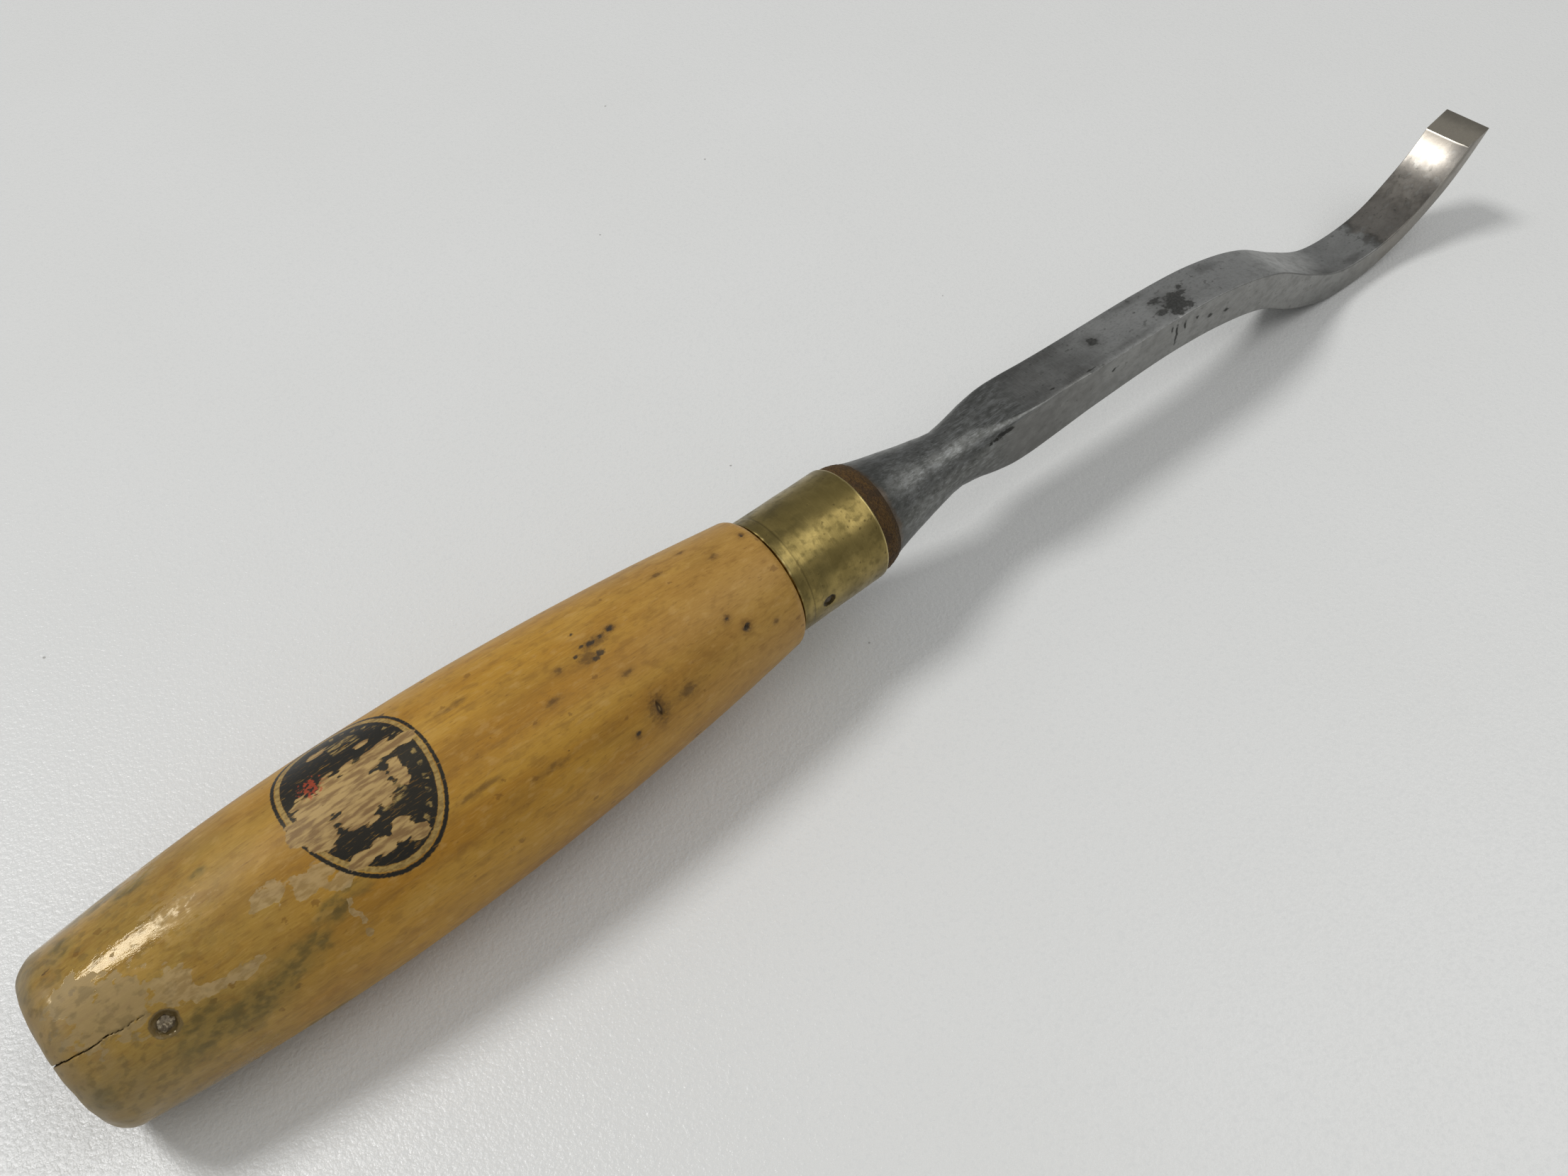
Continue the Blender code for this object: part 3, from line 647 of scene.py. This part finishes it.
def make_steel():
    s = Shader("old_steel")
    cloud = s.noise(8.0, 1.7, 1.0, detail=6)
    mottle = s.noise(1.9, 1.5, 3.0, detail=6)
    grain = s.noise(0.4, 1.4, 9.0, detail=5)
    lengthwise = s.noise(0.16, 26.0, 6.0, detail=4)
    crosswise = s.noise(2.6, 0.055, 16.0, detail=4)
    blotches = s.noise(1.0, 2.4, 43.0, detail=7)
    strokes = s.noise(0.3, 7.0, 48.0, detail=5)
    upper = s.attribute("upper")
    steel_tone(s, cloud, mottle, upper)
    s.coat(s.step(lengthwise, 0.46, 0.72) * 0.2, srgb(100, 100, 97))
    brushed = upper * s.step(s.x, 180.0, 150.0)
    s.coat(s.step(crosswise, 0.5, 0.7) * brushed * 0.26, srgb(176, 177, 174))
    s.coat((1.0 - upper) * 0.25, srgb(104, 103, 100))

    forged = s.step(s.x + (cloud - 0.5) * 8.0 - upper * 8.0, 46.0, 34.0)
    s.coat(forged * 0.7, srgb(110, 111, 108))
    s.coat(forged * s.step(grain, 0.5, 0.7) * 0.34, srgb(70, 70, 66))
    s.coat(forged * s.step(blotches, 0.48, 0.68) * 0.44, srgb(72, 73, 69))
    s.coat(forged * s.step(blotches, 0.5, 0.32) * 0.3, srgb(160, 162, 161))
    s.coat(forged * s.step(strokes, 0.5, 0.7) * 0.34, srgb(168, 170, 169))
    collar = s.step(s.x + (mottle - 0.5) * 7.0, 12.0, 5.0)
    s.coat(collar * 0.5, srgb(72, 72, 66))
    rust = s.step(s.x + (mottle - 0.5) * 3.0, 6.0, 4.4)
    s.coat(rust * 0.4, srgb(104, 78, 50))

    rubbed = s.attribute("arris") * (1.0 - forged)
    # the arris near the bolster is lighter: rubbed bare, and a painted highlight
    bright = s.step(s.x + (mottle - 0.5) * 20.0, 70.0, 52.0)
    s.coat(rubbed * bright * 0.4, srgb(176, 177, 174))
    # painted shade: the arris is darker from there to about 190 mm along
    painted_shade_on_arris = rubbed * (1.0 - bright) * s.step(s.x, 200.0, 190.0)
    s.coat(painted_shade_on_arris * 0.4, srgb(112, 112, 109))
    # dark rust pits, and the streak of painted shade on the side by the bolster
    pits_and_painted_shade = ragged(s, s.attribute("pits_and_painted_shade"), 0.8, 1.5, 13.0, 1.4, -0.2, 0.3)
    s.coat(pits_and_painted_shade * (0.74 + s.step(grain, 0.4, 0.6) * 0.1), srgb(52, 52, 49))
    flecks = s.step(s.specks(3.0, 1.2, 5.0) + (grain - 0.5) * 0.4, 0.1, 0.05)
    s.coat(flecks * 0.45, srgb(70, 70, 66))
    spot = s.step(s.noise(0.9, 1.8, 18.0, detail=6), 0.62, 0.7)
    s.coat(spot * 0.45, srgb(76, 76, 71))

    climb = up_bevel(s.x, s.z)
    bevel = s.step(abs(above_bevel(s.x, s.z)), 0.03, 0.015) * s.step(climb, -0.8, -0.7)
    polished = s.step(s.x + (mottle - 0.5) * 4.0, 210.8, 216.0) * (1.0 - bevel) * upper
    # the polished patch near the tip, lighter towards +Y: real polish and a painted highlight
    polish_and_painted_highlight = polished * s.step(s.y + (mottle - 0.5) * 5.0, -5.6, 0.6)
    s.coat(polish_and_painted_highlight * 0.5, srgb(150, 142, 130))
    near_tip = s.step(s.x, 166.0, 200.0) * (1.0 - upper)
    s.coat(near_tip * 0.35, srgb(186, 180, 170))
    # painted highlight: a bright line along the heel of the bevel
    heel = s.step(s.attribute("heel"), 0.34, 0.08) * upper * (1.0 - bevel)
    # painted highlight: a bright line on the -Y side's edge by the heel
    painted_side_highlight = s.attribute("arris") * s.step(s.y, -6.0, -6.15) * s.band(s.x, 209.5, 219.0, 0.8)
    grinding = s.noise(0.35, 0.5, 27.0, detail=5)
    ground = s.mix(s.step(grinding, 0.3, 0.7), srgb(172, 165, 151), srgb(160, 153, 140))
    darker_edge = s.step(climb + (s.noise(2.2, 1.0, 29.0, detail=5) - 0.5) * 4.0, 3.0, 8.0)
    ground = s.mix(darker_edge * 0.6, ground, srgb(112, 108, 99))
    s.coat(bevel, ground)
    # both painted highlights, near white
    s.coat(s.math("MAXIMUM", heel, painted_side_highlight * 0.7), srgb(238, 230, 216))

    rough = s.step(cloud, 0.3, 0.7) * 0.08 + s.step(mottle, 0.4, 0.65) * 0.08 + 0.3
    rough = rough + pits_and_painted_shade * 0.25 + forged * 0.04 + rubbed * 0.2 - s.step(s.x, 190.0, 206.0) * 0.05
    rough = s.blend(bevel, s.blend(polish_and_painted_highlight, rough, 0.31), 0.36)
    s.set(base_color=s.colour, roughness=rough, metallic=1.0)
    relief = (lengthwise * 0.1 + crosswise * brushed * 0.14) * (1.0 - forged)
    relief = relief + forged * (grain * 0.4 + blotches * 0.7 + strokes * 0.2) - pits_and_painted_shade * grain * 0.25
    s.bump((relief + mottle * 0.4) * (1.0 - bevel) + grinding * bevel * 0.1, 0.03)
    return s.material


def make_brass():
    s = Shader("tarnished_brass")
    cloud = s.noise(5.0, 0.8, 1.0, detail=6)
    s.colour = s.mix(s.step(cloud, 0.34, 0.68), srgb(160, 141, 86), srgb(134, 118, 70))
    patina = s.noise(1.4, 1.0, 4.0, detail=6)
    s.coat(s.step(patina, 0.48, 0.68) * 0.42, srgb(102, 90, 52))
    olive = s.step(s.noise(3.2, 1.2, 26.0, detail=6), 0.46, 0.62) * s.step(s.x, -6.0, -18.0)
    s.coat(olive * 0.4, srgb(92, 84, 52))
    edge = s.step(abs(s.x + 11.5) + (patina - 0.5) * 8.0, 6.5, 11.5)
    s.coat(edge * 0.4, srgb(110, 97, 58))
    turning = s.noise(3.0, 0.045, 21.0, detail=5)
    s.coat(s.step(turning, 0.48, 0.7) * 0.14, srgb(116, 101, 58))
    s.coat(s.step(turning, 0.46, 0.3) * 0.12, srgb(204, 184, 122))
    fine = s.noise(0.25, 0.7, 7.0, detail=5)
    s.coat(s.step(fine, 0.5, 0.72) * 0.3, srgb(108, 94, 56))
    specks = s.step(s.specks(2.4, 1.0, 9.0) + (fine - 0.5) * 0.4, 0.12, 0.06)
    s.coat(specks * 0.55, srgb(72, 60, 36))
    rim = s.step(s.x + (s.noise(1.5, 1.0, 12.0, detail=4) - 0.5) * 0.5, -0.7, -0.35)
    s.coat(rim * 0.6, srgb(216, 196, 134))
    burr = s.step(s.x, -21.7, -22.0) * s.step(s.noise(4.0, 1.0, 16.0, detail=5), 0.5, 0.62)
    s.coat(burr * 0.7, srgb(226, 204, 136))
    score = s.band(s.x + (fine - 0.5) * 0.3, -19.8, -19.45, 0.1)
    s.coat(score * 0.5, srgb(90, 78, 46))
    s.coat(s.step(s.attribute("pit"), 0.05, 0.5) * 0.9, srgb(46, 36, 24))
    rough = s.step(cloud, 0.3, 0.7) * 0.1 + 0.27 + s.step(patina, 0.45, 0.7) * 0.12
    s.set(base_color=s.colour, roughness=s.blend(rim, rough, 0.22), metallic=1.0)
    s.bump(turning * 0.16 + patina * 0.5 + fine * 0.35 - specks * 0.3, 0.03)
    return s.material


def make_leather():
    s = Shader("old_leather")
    layers = s.noise(0.5, 0.4, 1.0, detail=5)
    s.colour = s.mix(s.step(layers, 0.36, 0.66), srgb(88, 64, 28), srgb(56, 40, 19))
    stain = s.noise(3.0, 1.0, 4.0, detail=5)
    s.coat(s.step(stain, 0.5, 0.66) * 0.6, srgb(48, 36, 24))
    s.coat(s.step(s.noise(0.3, 1.0, 8.0, detail=4), 0.58, 0.7) * 0.4, srgb(120, 84, 46))
    # darker on the side that meets the bolster
    darker_by_bolster = s.step(s.x + (layers - 0.5) * 1.5, 2.6, 4.0)
    s.coat(darker_by_bolster * 0.5, srgb(46, 38, 27))
    s.set(base_color=s.colour, roughness=s.step(layers, 0.3, 0.7) * 0.15 + 0.66,
          specular_ior_level=0.25)
    s.bump(layers + s.noise(0.25, 1.0, 12.0, detail=4) * 0.6, 0.12)
    return s.material


def make_iron(name, dark, bright, rusty):
    """Hammered iron; the share of it that rust covers grows as rusty falls from 0.5."""
    s = Shader(name)
    pocks = s.noise(0.5, 1.0, 1.0, detail=5)
    s.colour = s.mix(s.step(pocks, 0.4, 0.6), dark, bright)
    crust = s.step(s.noise(0.8, 1.0, 5.0, detail=5), rusty, rusty + 0.12)
    s.coat(crust * 0.7, srgb(80, 68, 50))
    s.set(base_color=s.colour, roughness=s.step(pocks, 0.3, 0.7) * 0.2 + 0.38,
          metallic=s.blend(crust, 0.8, 0.3))
    s.bump(pocks, 0.2)
    return s.material


def make_table_material():
    """Pale laminate with a fine pebbled texture and a soft shine."""
    s = Shader("pale_laminate")
    pebbles = s.noise(0.9, 1.0, 1.0, detail=4)
    cloud = s.noise(60.0, 1.0, 7.0, detail=3)
    s.colour = s.mix(cloud, srgb(228, 228, 225), srgb(232, 232, 230))
    s.coat(s.step(pebbles, 0.5, 0.66) * 0.25, srgb(216, 217, 216))
    dust = s.step(s.specks(30.0, 1.0, 3.0) + (s.noise(0.8, 1.0, 2.0) - 0.5) * 0.012, 0.013, 0.009)
    s.coat(dust * 0.6, srgb(120, 116, 110))
    s.set(base_color=s.colour, roughness=s.step(pebbles, 0.3, 0.7) * 0.12 + 0.22)
    s.bump(pebbles + s.noise(0.4, 1.0, 5.0, detail=3) * 0.4, 0.16)
    return s.material


# ---------------------------------------------------------------- handle

def handle_profile():
    """The handle's outline from the middle of the butt to the end of the ferrule's spigot."""
    shoulder_radius = HANDLE_STATIONS[-1][1]
    shoulder_x = -FERRULE_LENGTH - GAP
    spigot_radius = FERRULE_INSIDE - GAP
    flat = [(BUTT_X, r) for r in spread(0.02, BUTT_FLAT_RADIUS, HANDLE_STEP)]
    rim = arc((BUTT_X + BUTT_ROUND, BUTT_FLAT_RADIUS), BUTT_ROUND, 180, BUTT_ROUND_END, HANDLE_STEP)
    side_x = np.concatenate([spread(HANDLE_STATIONS[0][0], FINE_STEP_END, FINE_STEP)[1:],
                             spread(FINE_STEP_END, HANDLE_STATIONS[-1][0], HANDLE_STEP)[1:-1]])
    side = list(zip(side_x, smooth_values(HANDLE_STATIONS, side_x)[:, 0]))
    shoulder = arc((shoulder_x - SHOULDER_ROUND, shoulder_radius - SHOULDER_ROUND),
                   SHOULDER_ROUND, 90, 0, HANDLE_STEP)
    spigot = [(shoulder_x, spigot_radius + 0.4), (shoulder_x, spigot_radius),
              (shoulder_x / 2, spigot_radius), (-GAP, spigot_radius), (-GAP, 0.5)]
    return flat + rim + side + shoulder + spigot


def crowded_angles(count):
    """Angles round the handle, closest together near the split and the nail."""
    even = full_turn(count)
    return even - CROWDING * np.sin(even - CROWDED_ANGLE)


def split_depth(points):
    """How deep the split is cut at each point, from 0 to 1."""
    angle, radius = around(points)
    path_x, path_angle = np.array(SPLIT).T
    off = np.radians(angle - np.interp(points[:, 0], path_x, path_angle)) * radius
    off = off + noise_at(points, 0.6, 1.0, 3.0) * 0.12
    share = np.clip((points[:, 0] - path_x[0]) / (path_x[-1] - path_x[0]), 0, 1)
    width = (0.17 - 0.09 * share) * fade(radius, 3.0, 12.0) + 0.001
    inside = np.clip(1 - np.abs(off) / width, 0, 1) * (1 - 0.55 * share)
    return inside * fade(points[:, 0], path_x[-1] + 0.3, path_x[-1] - 0.5) * (np.abs(off) < 2)


def nail_pit(points):
    """Nearness to the nail's ragged pit."""
    return nearness(points, [NAIL_PIT]) + noise_at(points, 1.1, 1.0, 7.0) * 0.12


def handle_relief(points):
    """Wear and damage on the handle's surface, in millimetres."""
    x = points[:, 0]
    on_side = fade(x, -23.2, -25.0)
    battered = fade(x, -154.0, -164.0)
    relief = noise_at(points, 9.0, 2.0, 1.0) * 0.05 + noise_at(points, 2.0, 4.0, 5.0) * 0.018
    relief = relief + battered * (noise_at(points, 3.5, 1.0, 9.0) * 0.2 - 0.08)
    relief = relief - fade(nail_pit(points), 0.0, 0.35) * 0.85
    dent = nearness(points, [DENT])
    relief = relief - fade(dent, -0.1, 0.5) * 0.55 + fade(dent, 0.5, 0.9) * 0.3
    relief = relief - fade(nearness(points, BLACK_SPOTS), 0.0, 0.8) * 0.12
    relief = relief - fade(nearness(points, [WORMHOLE]), 0.0, 0.6) * 0.4
    return relief * on_side - split_depth(points) * 0.9


def make_handle():
    mesh = make_mesh("varnished_handle", turned(handle_profile(), crowded_angles(HANDLE_COLUMNS)))
    points = read_points(mesh)
    marks = {"worn": WORN, "grime": GRIME, "stain": STAINS, "black": BLACK_SPOTS,
             "wear": OVAL_WEAR, "dent": [DENT]}
    for name, spots in marks.items():
        paint(mesh, name, nearness(points, spots))
    paint(mesh, "crack", split_depth(points))
    paint(mesh, "pit", fade(nail_pit(points), -0.3, 0.3))
    displace(mesh, handle_relief)
    finish_piece("varnished_handle", mesh, make_wood(), "handle", sharp_degrees=60)


# ---------------------------------------------------------------- nail and pin

def stand_out(mesh, x, degrees):
    """Turn a mesh made along +X straight outwards, at a place along the tool and round it."""
    upright = Matrix.Rotation(-math.pi / 2, 4, "Y")
    turn = Matrix.Rotation(-math.radians(degrees), 4, "X")
    mesh.transform(Matrix.Translation((x * MM, 0, 0)) @ turn @ upright)
    mesh.update()


def make_nail(material):
    """Wire nail whose head was crushed by the hammer."""
    top, head, shank, length = 17.25, 1.28, 0.9, 24.0
    dome = [(top - 0.25 * (r / head) ** 4, r) for r in spread(0.01, head, 0.12)]
    profile = dome + [(top - 0.55, head), (top - 0.8, head - 0.1), (top - 0.8, shank),
                      (top - length + 3.0, shank), (top - length, 0.02)]
    mesh = make_mesh("nail_head", turned(profile, full_turn(64)))

    def crushed(points):
        on_head = fade(points[:, 0], top - 1.2, top - 0.6)
        return on_head * (noise_at(points, 1.1, 1.0, 2.0) * 0.38 + noise_at(points, 0.35) * 0.1)

    displace(mesh, crushed)
    stand_out(mesh, *NAIL)
    finish_piece("nail_in_handle", mesh, material, "handle_nail", sharp_degrees=50)


def make_pin(material):
    top, radius, length = 12.45, 0.93, 6.0
    dome = [(top - 0.2 * (r / radius) ** 3, r) for r in spread(0.01, radius, 0.1)]
    profile = dome + [(top - length + 1.0, radius), (top - length, 0.02)]
    mesh = make_mesh("brad", turned(profile, full_turn(40)))
    displace(mesh, lambda points: fade(points[:, 0], top - 1.0, top - 0.4) * noise_at(points, 0.5) * 0.08)
    stand_out(mesh, *PIN)
    finish_piece("ferrule_brad", mesh, material, "ferrule_pin", sharp_degrees=50)


# ---------------------------------------------------------------- ferrule and washer

def make_ferrule():
    inside, lip = FERRULE_INSIDE, 0.5
    outer = [(x, FERRULE_RADIUS) for x in spread(-FERRULE_LENGTH + 0.3, -lip, 0.3)]
    profile = ([(-FERRULE_LENGTH, inside), (-FERRULE_LENGTH, FERRULE_RADIUS - 0.3),
                (-FERRULE_LENGTH + 0.1, FERRULE_RADIUS - 0.08)] + outer
               + arc((-lip, FERRULE_RADIUS - lip), lip, 78, 0, 0.12) + [(0.0, inside)]
               + [(x, inside) for x in spread(0.0, -FERRULE_LENGTH, 2.0)[1:-1]])
    mesh = make_mesh("brass_ferrule", turned(profile, full_turn(240)), closed_rows=True)
    paint(mesh, "pit", fade(nearness(read_points(mesh), [PIN_PIT]), -0.1, 0.15))

    def dinged(points):
        outside = fade(around(points)[1], 12.0, 12.5)
        dents = noise_at(points, 6.0, 1.0, 4.0) * 0.05 + noise_at(points, 2.5, 1.0, 7.0) * 0.02
        groove = np.exp(-((points[:, 0] + 19.6) / 0.25) ** 2) * 0.06
        burr = fade(points[:, 0], -21.7, -22.1) * np.clip(noise_at(points, 2.0, 1.0, 2.0), 0, 1) * 0.25
        pit = fade(nearness(points, [PIN_PIT]), 0.0, 0.4) * 0.6
        return outside * (dents - groove + burr - pit)

    displace(mesh, dinged)
    finish_piece("brass_ferrule", mesh, make_brass(), "ferrule")


def make_washer():
    back, front = 0.02, BOLSTER_STATIONS[0][0] - 0.02
    hole, radius, taper = 6.2, 12.35, 0.85
    outer = [(x, radius - taper * (x - back) / (front - back)) for x in spread(back, front, 0.25)]
    profile = [(back, hole)] + outer + [(front, hole)]
    mesh = make_mesh("leather_washer_skin", turned(profile, full_turn(220)), closed_rows=True)

    def squeezed(points):
        outside = fade(around(points)[1], 10.5, 11.2)
        bulge = 0.25 * np.sin((points[:, 0] - back) / (front - back) * math.pi)
        return outside * (bulge + noise_at(points, 1.2, 0.5, 2.0) * 0.12 + noise_at(points, 0.4) * 0.04)

    displace(mesh, squeezed)
    finish_piece("leather_ring", mesh, make_leather(), "leather_washer")


# ---------------------------------------------------------------- blade

def section(width, depth, corner):
    """Ring of (sideways, up) points round a rectangle with rounded corners."""
    bends = []
    for quarter, side in enumerate([(1, 1), (-1, 1), (-1, -1), (1, -1)]):
        centre = np.array(side) * (np.array([width, depth]) / 2 - corner)
        angles = np.radians(90 * quarter + np.linspace(0, 90, CORNER_STEPS))
        bends.append(centre + corner * np.stack([np.cos(angles), np.sin(angles)], 1))
    shares = np.linspace(0, 1, FLAT_STEPS + 1)[1:-1, None]
    ring = []
    for bend, following in zip(bends, bends[1:] + bends[:1]):
        ring += [bend, bend[-1] + shares * (following[0] - bend[-1])]
    return np.concatenate(ring)


def ring_at(x, height, slope, flat_ring):
    """Stand a flat ring square to a centre line that climbs at a slope."""
    along = np.array([1.0, 0.0, slope]) / math.hypot(1.0, slope)
    up = np.array([-along[2], 0.0, along[0]])
    return (np.array([x, 0.0, height]) + flat_ring[:, :1] * np.array([0.0, 1.0, 0.0])
            + flat_ring[:, 1:] * up)


def blade_rings():
    """Sections of the blade from the end of its tang to beyond the cutting edge."""
    end_x, end_width = TANG_END
    root_x = BOLSTER_STATIONS[0][0]
    rings = []
    for x in spread(end_x, root_x, TANG_STEP):
        width = end_width + (TANG_ROOT_WIDTH - end_width) * (x - end_x) / (root_x - end_x)
        rings.append(ring_at(x, 0.0, 0.0, section(width, width, TANG_CORNER)))
    for x in spread(root_x, BOLSTER_STATIONS[-1][0], BLADE_STEP):
        height, radius = smooth_values(BOLSTER_STATIONS, x)[0]
        rings.append(ring_at(x, height, 0.0, section(2 * radius, 2 * radius, BOLSTER_ROUNDNESS * radius)))
    for x in spread(SHAFT_STATIONS[0][0], SHAFT_STATIONS[-1][0], BLADE_STEP):
        height, width, depth, corner = smooth_values(SHAFT_STATIONS, x)[0]
        rise = smooth_values(SHAFT_STATIONS, x + SLOPE_STEP)[0][0] - height
        rings.append(ring_at(x, height, rise / SLOPE_STEP, section(width, depth, corner)))
    return np.array(rings)


def blade_relief(points):
    """Forging marks, rubbed corners, rust pits and the streak of painted shade on the side, in millimetres.
    """
    x = points[:, 0]
    forged = fade(x, 50.0, 30.0) * fade(x, 4.4, 5.5)
    relief = forged * (noise_at(points, 4.5, 1.5, 2.0) * 0.12 + noise_at(points, 1.4) * 0.04)
    shaft = fade(x, 40.0, 60.0) * fade(x, 226.0, 214.0)
    relief = relief + shaft * noise_at(points, 7.0, 2.0, 6.0) * 0.03
    side = -points[:, 1]
    at_tip = np.clip(side - 1.5, 0, None) ** 2 * 0.012 * fade(x, 203.0, 208.0)
    on_shaft = np.clip(side - 4.4, 0, None) ** 2 * 0.07 * fade(x, 48.0, 58.0) * fade(x, 108.0, 94.0)
    relief = relief - (at_tip + on_shaft) * fade(above_middle(points), 0.5, 2.0)
    return relief - fade(pits_and_painted_shade(points), -0.1, 0.5) * (0.05 + 0.08 * noise_at(points, 0.8) ** 2)


def above_middle(points):
    """How far each point lies above the middle line of the blade."""
    return points[:, 2] - np.interp(points[:, 0], *np.array(SHAFT_STATIONS).T[:2])


def pits_and_painted_shade(points):
    """Nearness to the rust marks and to a streak of painted shade on the side face: the upper face's seen
    from above, the side's from the side.
    """
    above = above_middle(points)
    upper = marks_near(points[:, 0], points[:, 1], UPPER_PITS)
    side = marks_near(points[:, 0], above, SIDE_PITS_AND_SHADE)
    off_the_side = 1 - fade(points[:, 1], -4.6, -5.4)
    return np.maximum(np.where(above > 2.0, upper, FAR), side + FAR * off_the_side)


def smudged(points):
    """Nearness to the soft stains on the upper face."""
    near = marks_near(points[:, 0], points[:, 1], SMUDGES)
    return np.where(above_middle(points) > 1.5, near, FAR)


def marks_near(along, across, marks):
    best = np.full(len(along), FAR)
    for x, place, length, width in marks:
        best = np.maximum(best, 1 - np.hypot((along - x) / length, (across - place) / width))
    return best


def corner_share(mesh):
    """1 where the surface faces slantwise, on the blade's long rounded corners."""
    normals = read_points(mesh, "normal")
    return fade(np.minimum(np.abs(normals[:, 1]), np.hypot(normals[:, 0], normals[:, 2])), 0.15, 0.5)


def grind_bevel(mesh):
    """Cut off the part of the tip above the plane of the bevel, and close the cut."""
    bm = bmesh.new()
    bm.from_mesh(mesh)
    tip = {v for v in bm.verts if v.co.x > BEVEL_START * MM}
    tip_edges = [e for e in bm.edges if tip.issuperset(e.verts)]
    tip_faces = [f for f in bm.faces if tip.issuperset(f.verts)]
    cut = bmesh.ops.bisect_plane(
        bm, geom=[*tip, *tip_edges, *tip_faces], dist=0.001 * MM, plane_co=BEVEL_HEEL * MM,
        plane_no=BEVEL_ALONG.cross(Vector((0.0, 1.0, 0.0))), clear_outer=True)
    rim = [e for e in cut["geom_cut"] if isinstance(e, bmesh.types.BMEdge)]
    bmesh.ops.holes_fill(bm, edges=rim)
    bmesh.ops.recalc_face_normals(bm, faces=bm.faces)
    bm.to_mesh(mesh)
    bm.free()


def gap_to_heel(mesh):
    """Distance along the tool from each point to the line where the bevel starts."""
    points = read_points(mesh)
    on_plane = np.abs(above_bevel(points[:, 0], points[:, 2])) < 0.02
    heel = points[on_plane & (np.abs(points[:, 0] - BEVEL_HEEL.x) < 1.0)]
    heel = heel[np.argsort(heel[:, 1])]
    return np.interp(points[:, 1], heel[:, 1], heel[:, 0]) - points[:, 0]


def make_blade():
    mesh = make_mesh("forged_blade", blade_rings())
    paint(mesh, "pits_and_painted_shade", pits_and_painted_shade(read_points(mesh)))
    paint(mesh, "smudged", smudged(read_points(mesh)))
    paint(mesh, "upper", fade(read_points(mesh, "normal")[:, 2], 0.4, 0.7))
    paint(mesh, "arris", corner_share(mesh))
    displace(mesh, blade_relief)
    grind_bevel(mesh)
    paint(mesh, "heel", gap_to_heel(mesh))
    finish_piece("forged_blade", mesh, make_steel(), "blade", sharp_degrees=28)


# ---------------------------------------------------------------- table, light and camera

def make_table():
    bm = bmesh.new()
    bmesh.ops.create_grid(bm, x_segments=2, y_segments=2, size=TABLE_HALF_WIDTH)
    mesh = bpy.data.meshes.new("table")
    bm.to_mesh(mesh)
    bm.free()
    mesh.materials.append(make_table_material())
    table = add_object("table", mesh)
    table.location.z = -TABLE_DROP


def add_light(name, direction, distance, size, power):
    """Round area light that faces the middle of the tool from a direction."""
    data = bpy.data.lights.new(name, "AREA")
    data.shape = "DISK"
    data.size = size
    data.energy = power
    light = add_object(name, data)
    towards = Vector(direction).normalized()
    light.location = towards * distance
    light.rotation_euler = towards.to_track_quat("Z", "Y").to_euler()


def make_light():
    add_light("key", (-0.34, 0.41, 0.85), distance=3.0, size=0.85, power=38.0)
    add_light("ceiling", (0.5, -0.33, 0.8), distance=2.6, size=2.2, power=17.0)
    world = bpy.data.worlds.new("room")
    world.use_nodes = True
    sky = world.node_tree.nodes["Background"]
    sky.inputs["Color"].default_value = (0.97, 0.985, 1.0, 1.0)
    sky.inputs["Strength"].default_value = 0.33
    bpy.context.scene.world = world
    bpy.context.scene.view_settings.view_transform = "Standard"


def make_camera():
    data = bpy.data.cameras.new("camera")
    data.sensor_width = 36.0
    data.lens = CAMERA_LENS
    data.clip_start = 0.01
    camera = add_object("camera", data)
    up = CAMERA_RIGHT.cross(CAMERA_FORWARD).normalized()
    right = CAMERA_FORWARD.cross(up).normalized()
    turn = Matrix((right, up, -CAMERA_FORWARD.normalized())).transposed().to_4x4()
    camera.matrix_world = Matrix.Translation(CAMERA_PLACE) @ turn
    bpy.context.scene.camera = camera


make_handle()
make_blade()
make_ferrule()
make_washer()
make_nail(make_iron("hammered_iron", srgb(108, 95, 74), srgb(176, 162, 136), 0.44))
make_pin(make_iron("rusty_iron", srgb(52, 43, 32), srgb(86, 74, 56), 0.3))
make_table()
make_light()
make_camera()
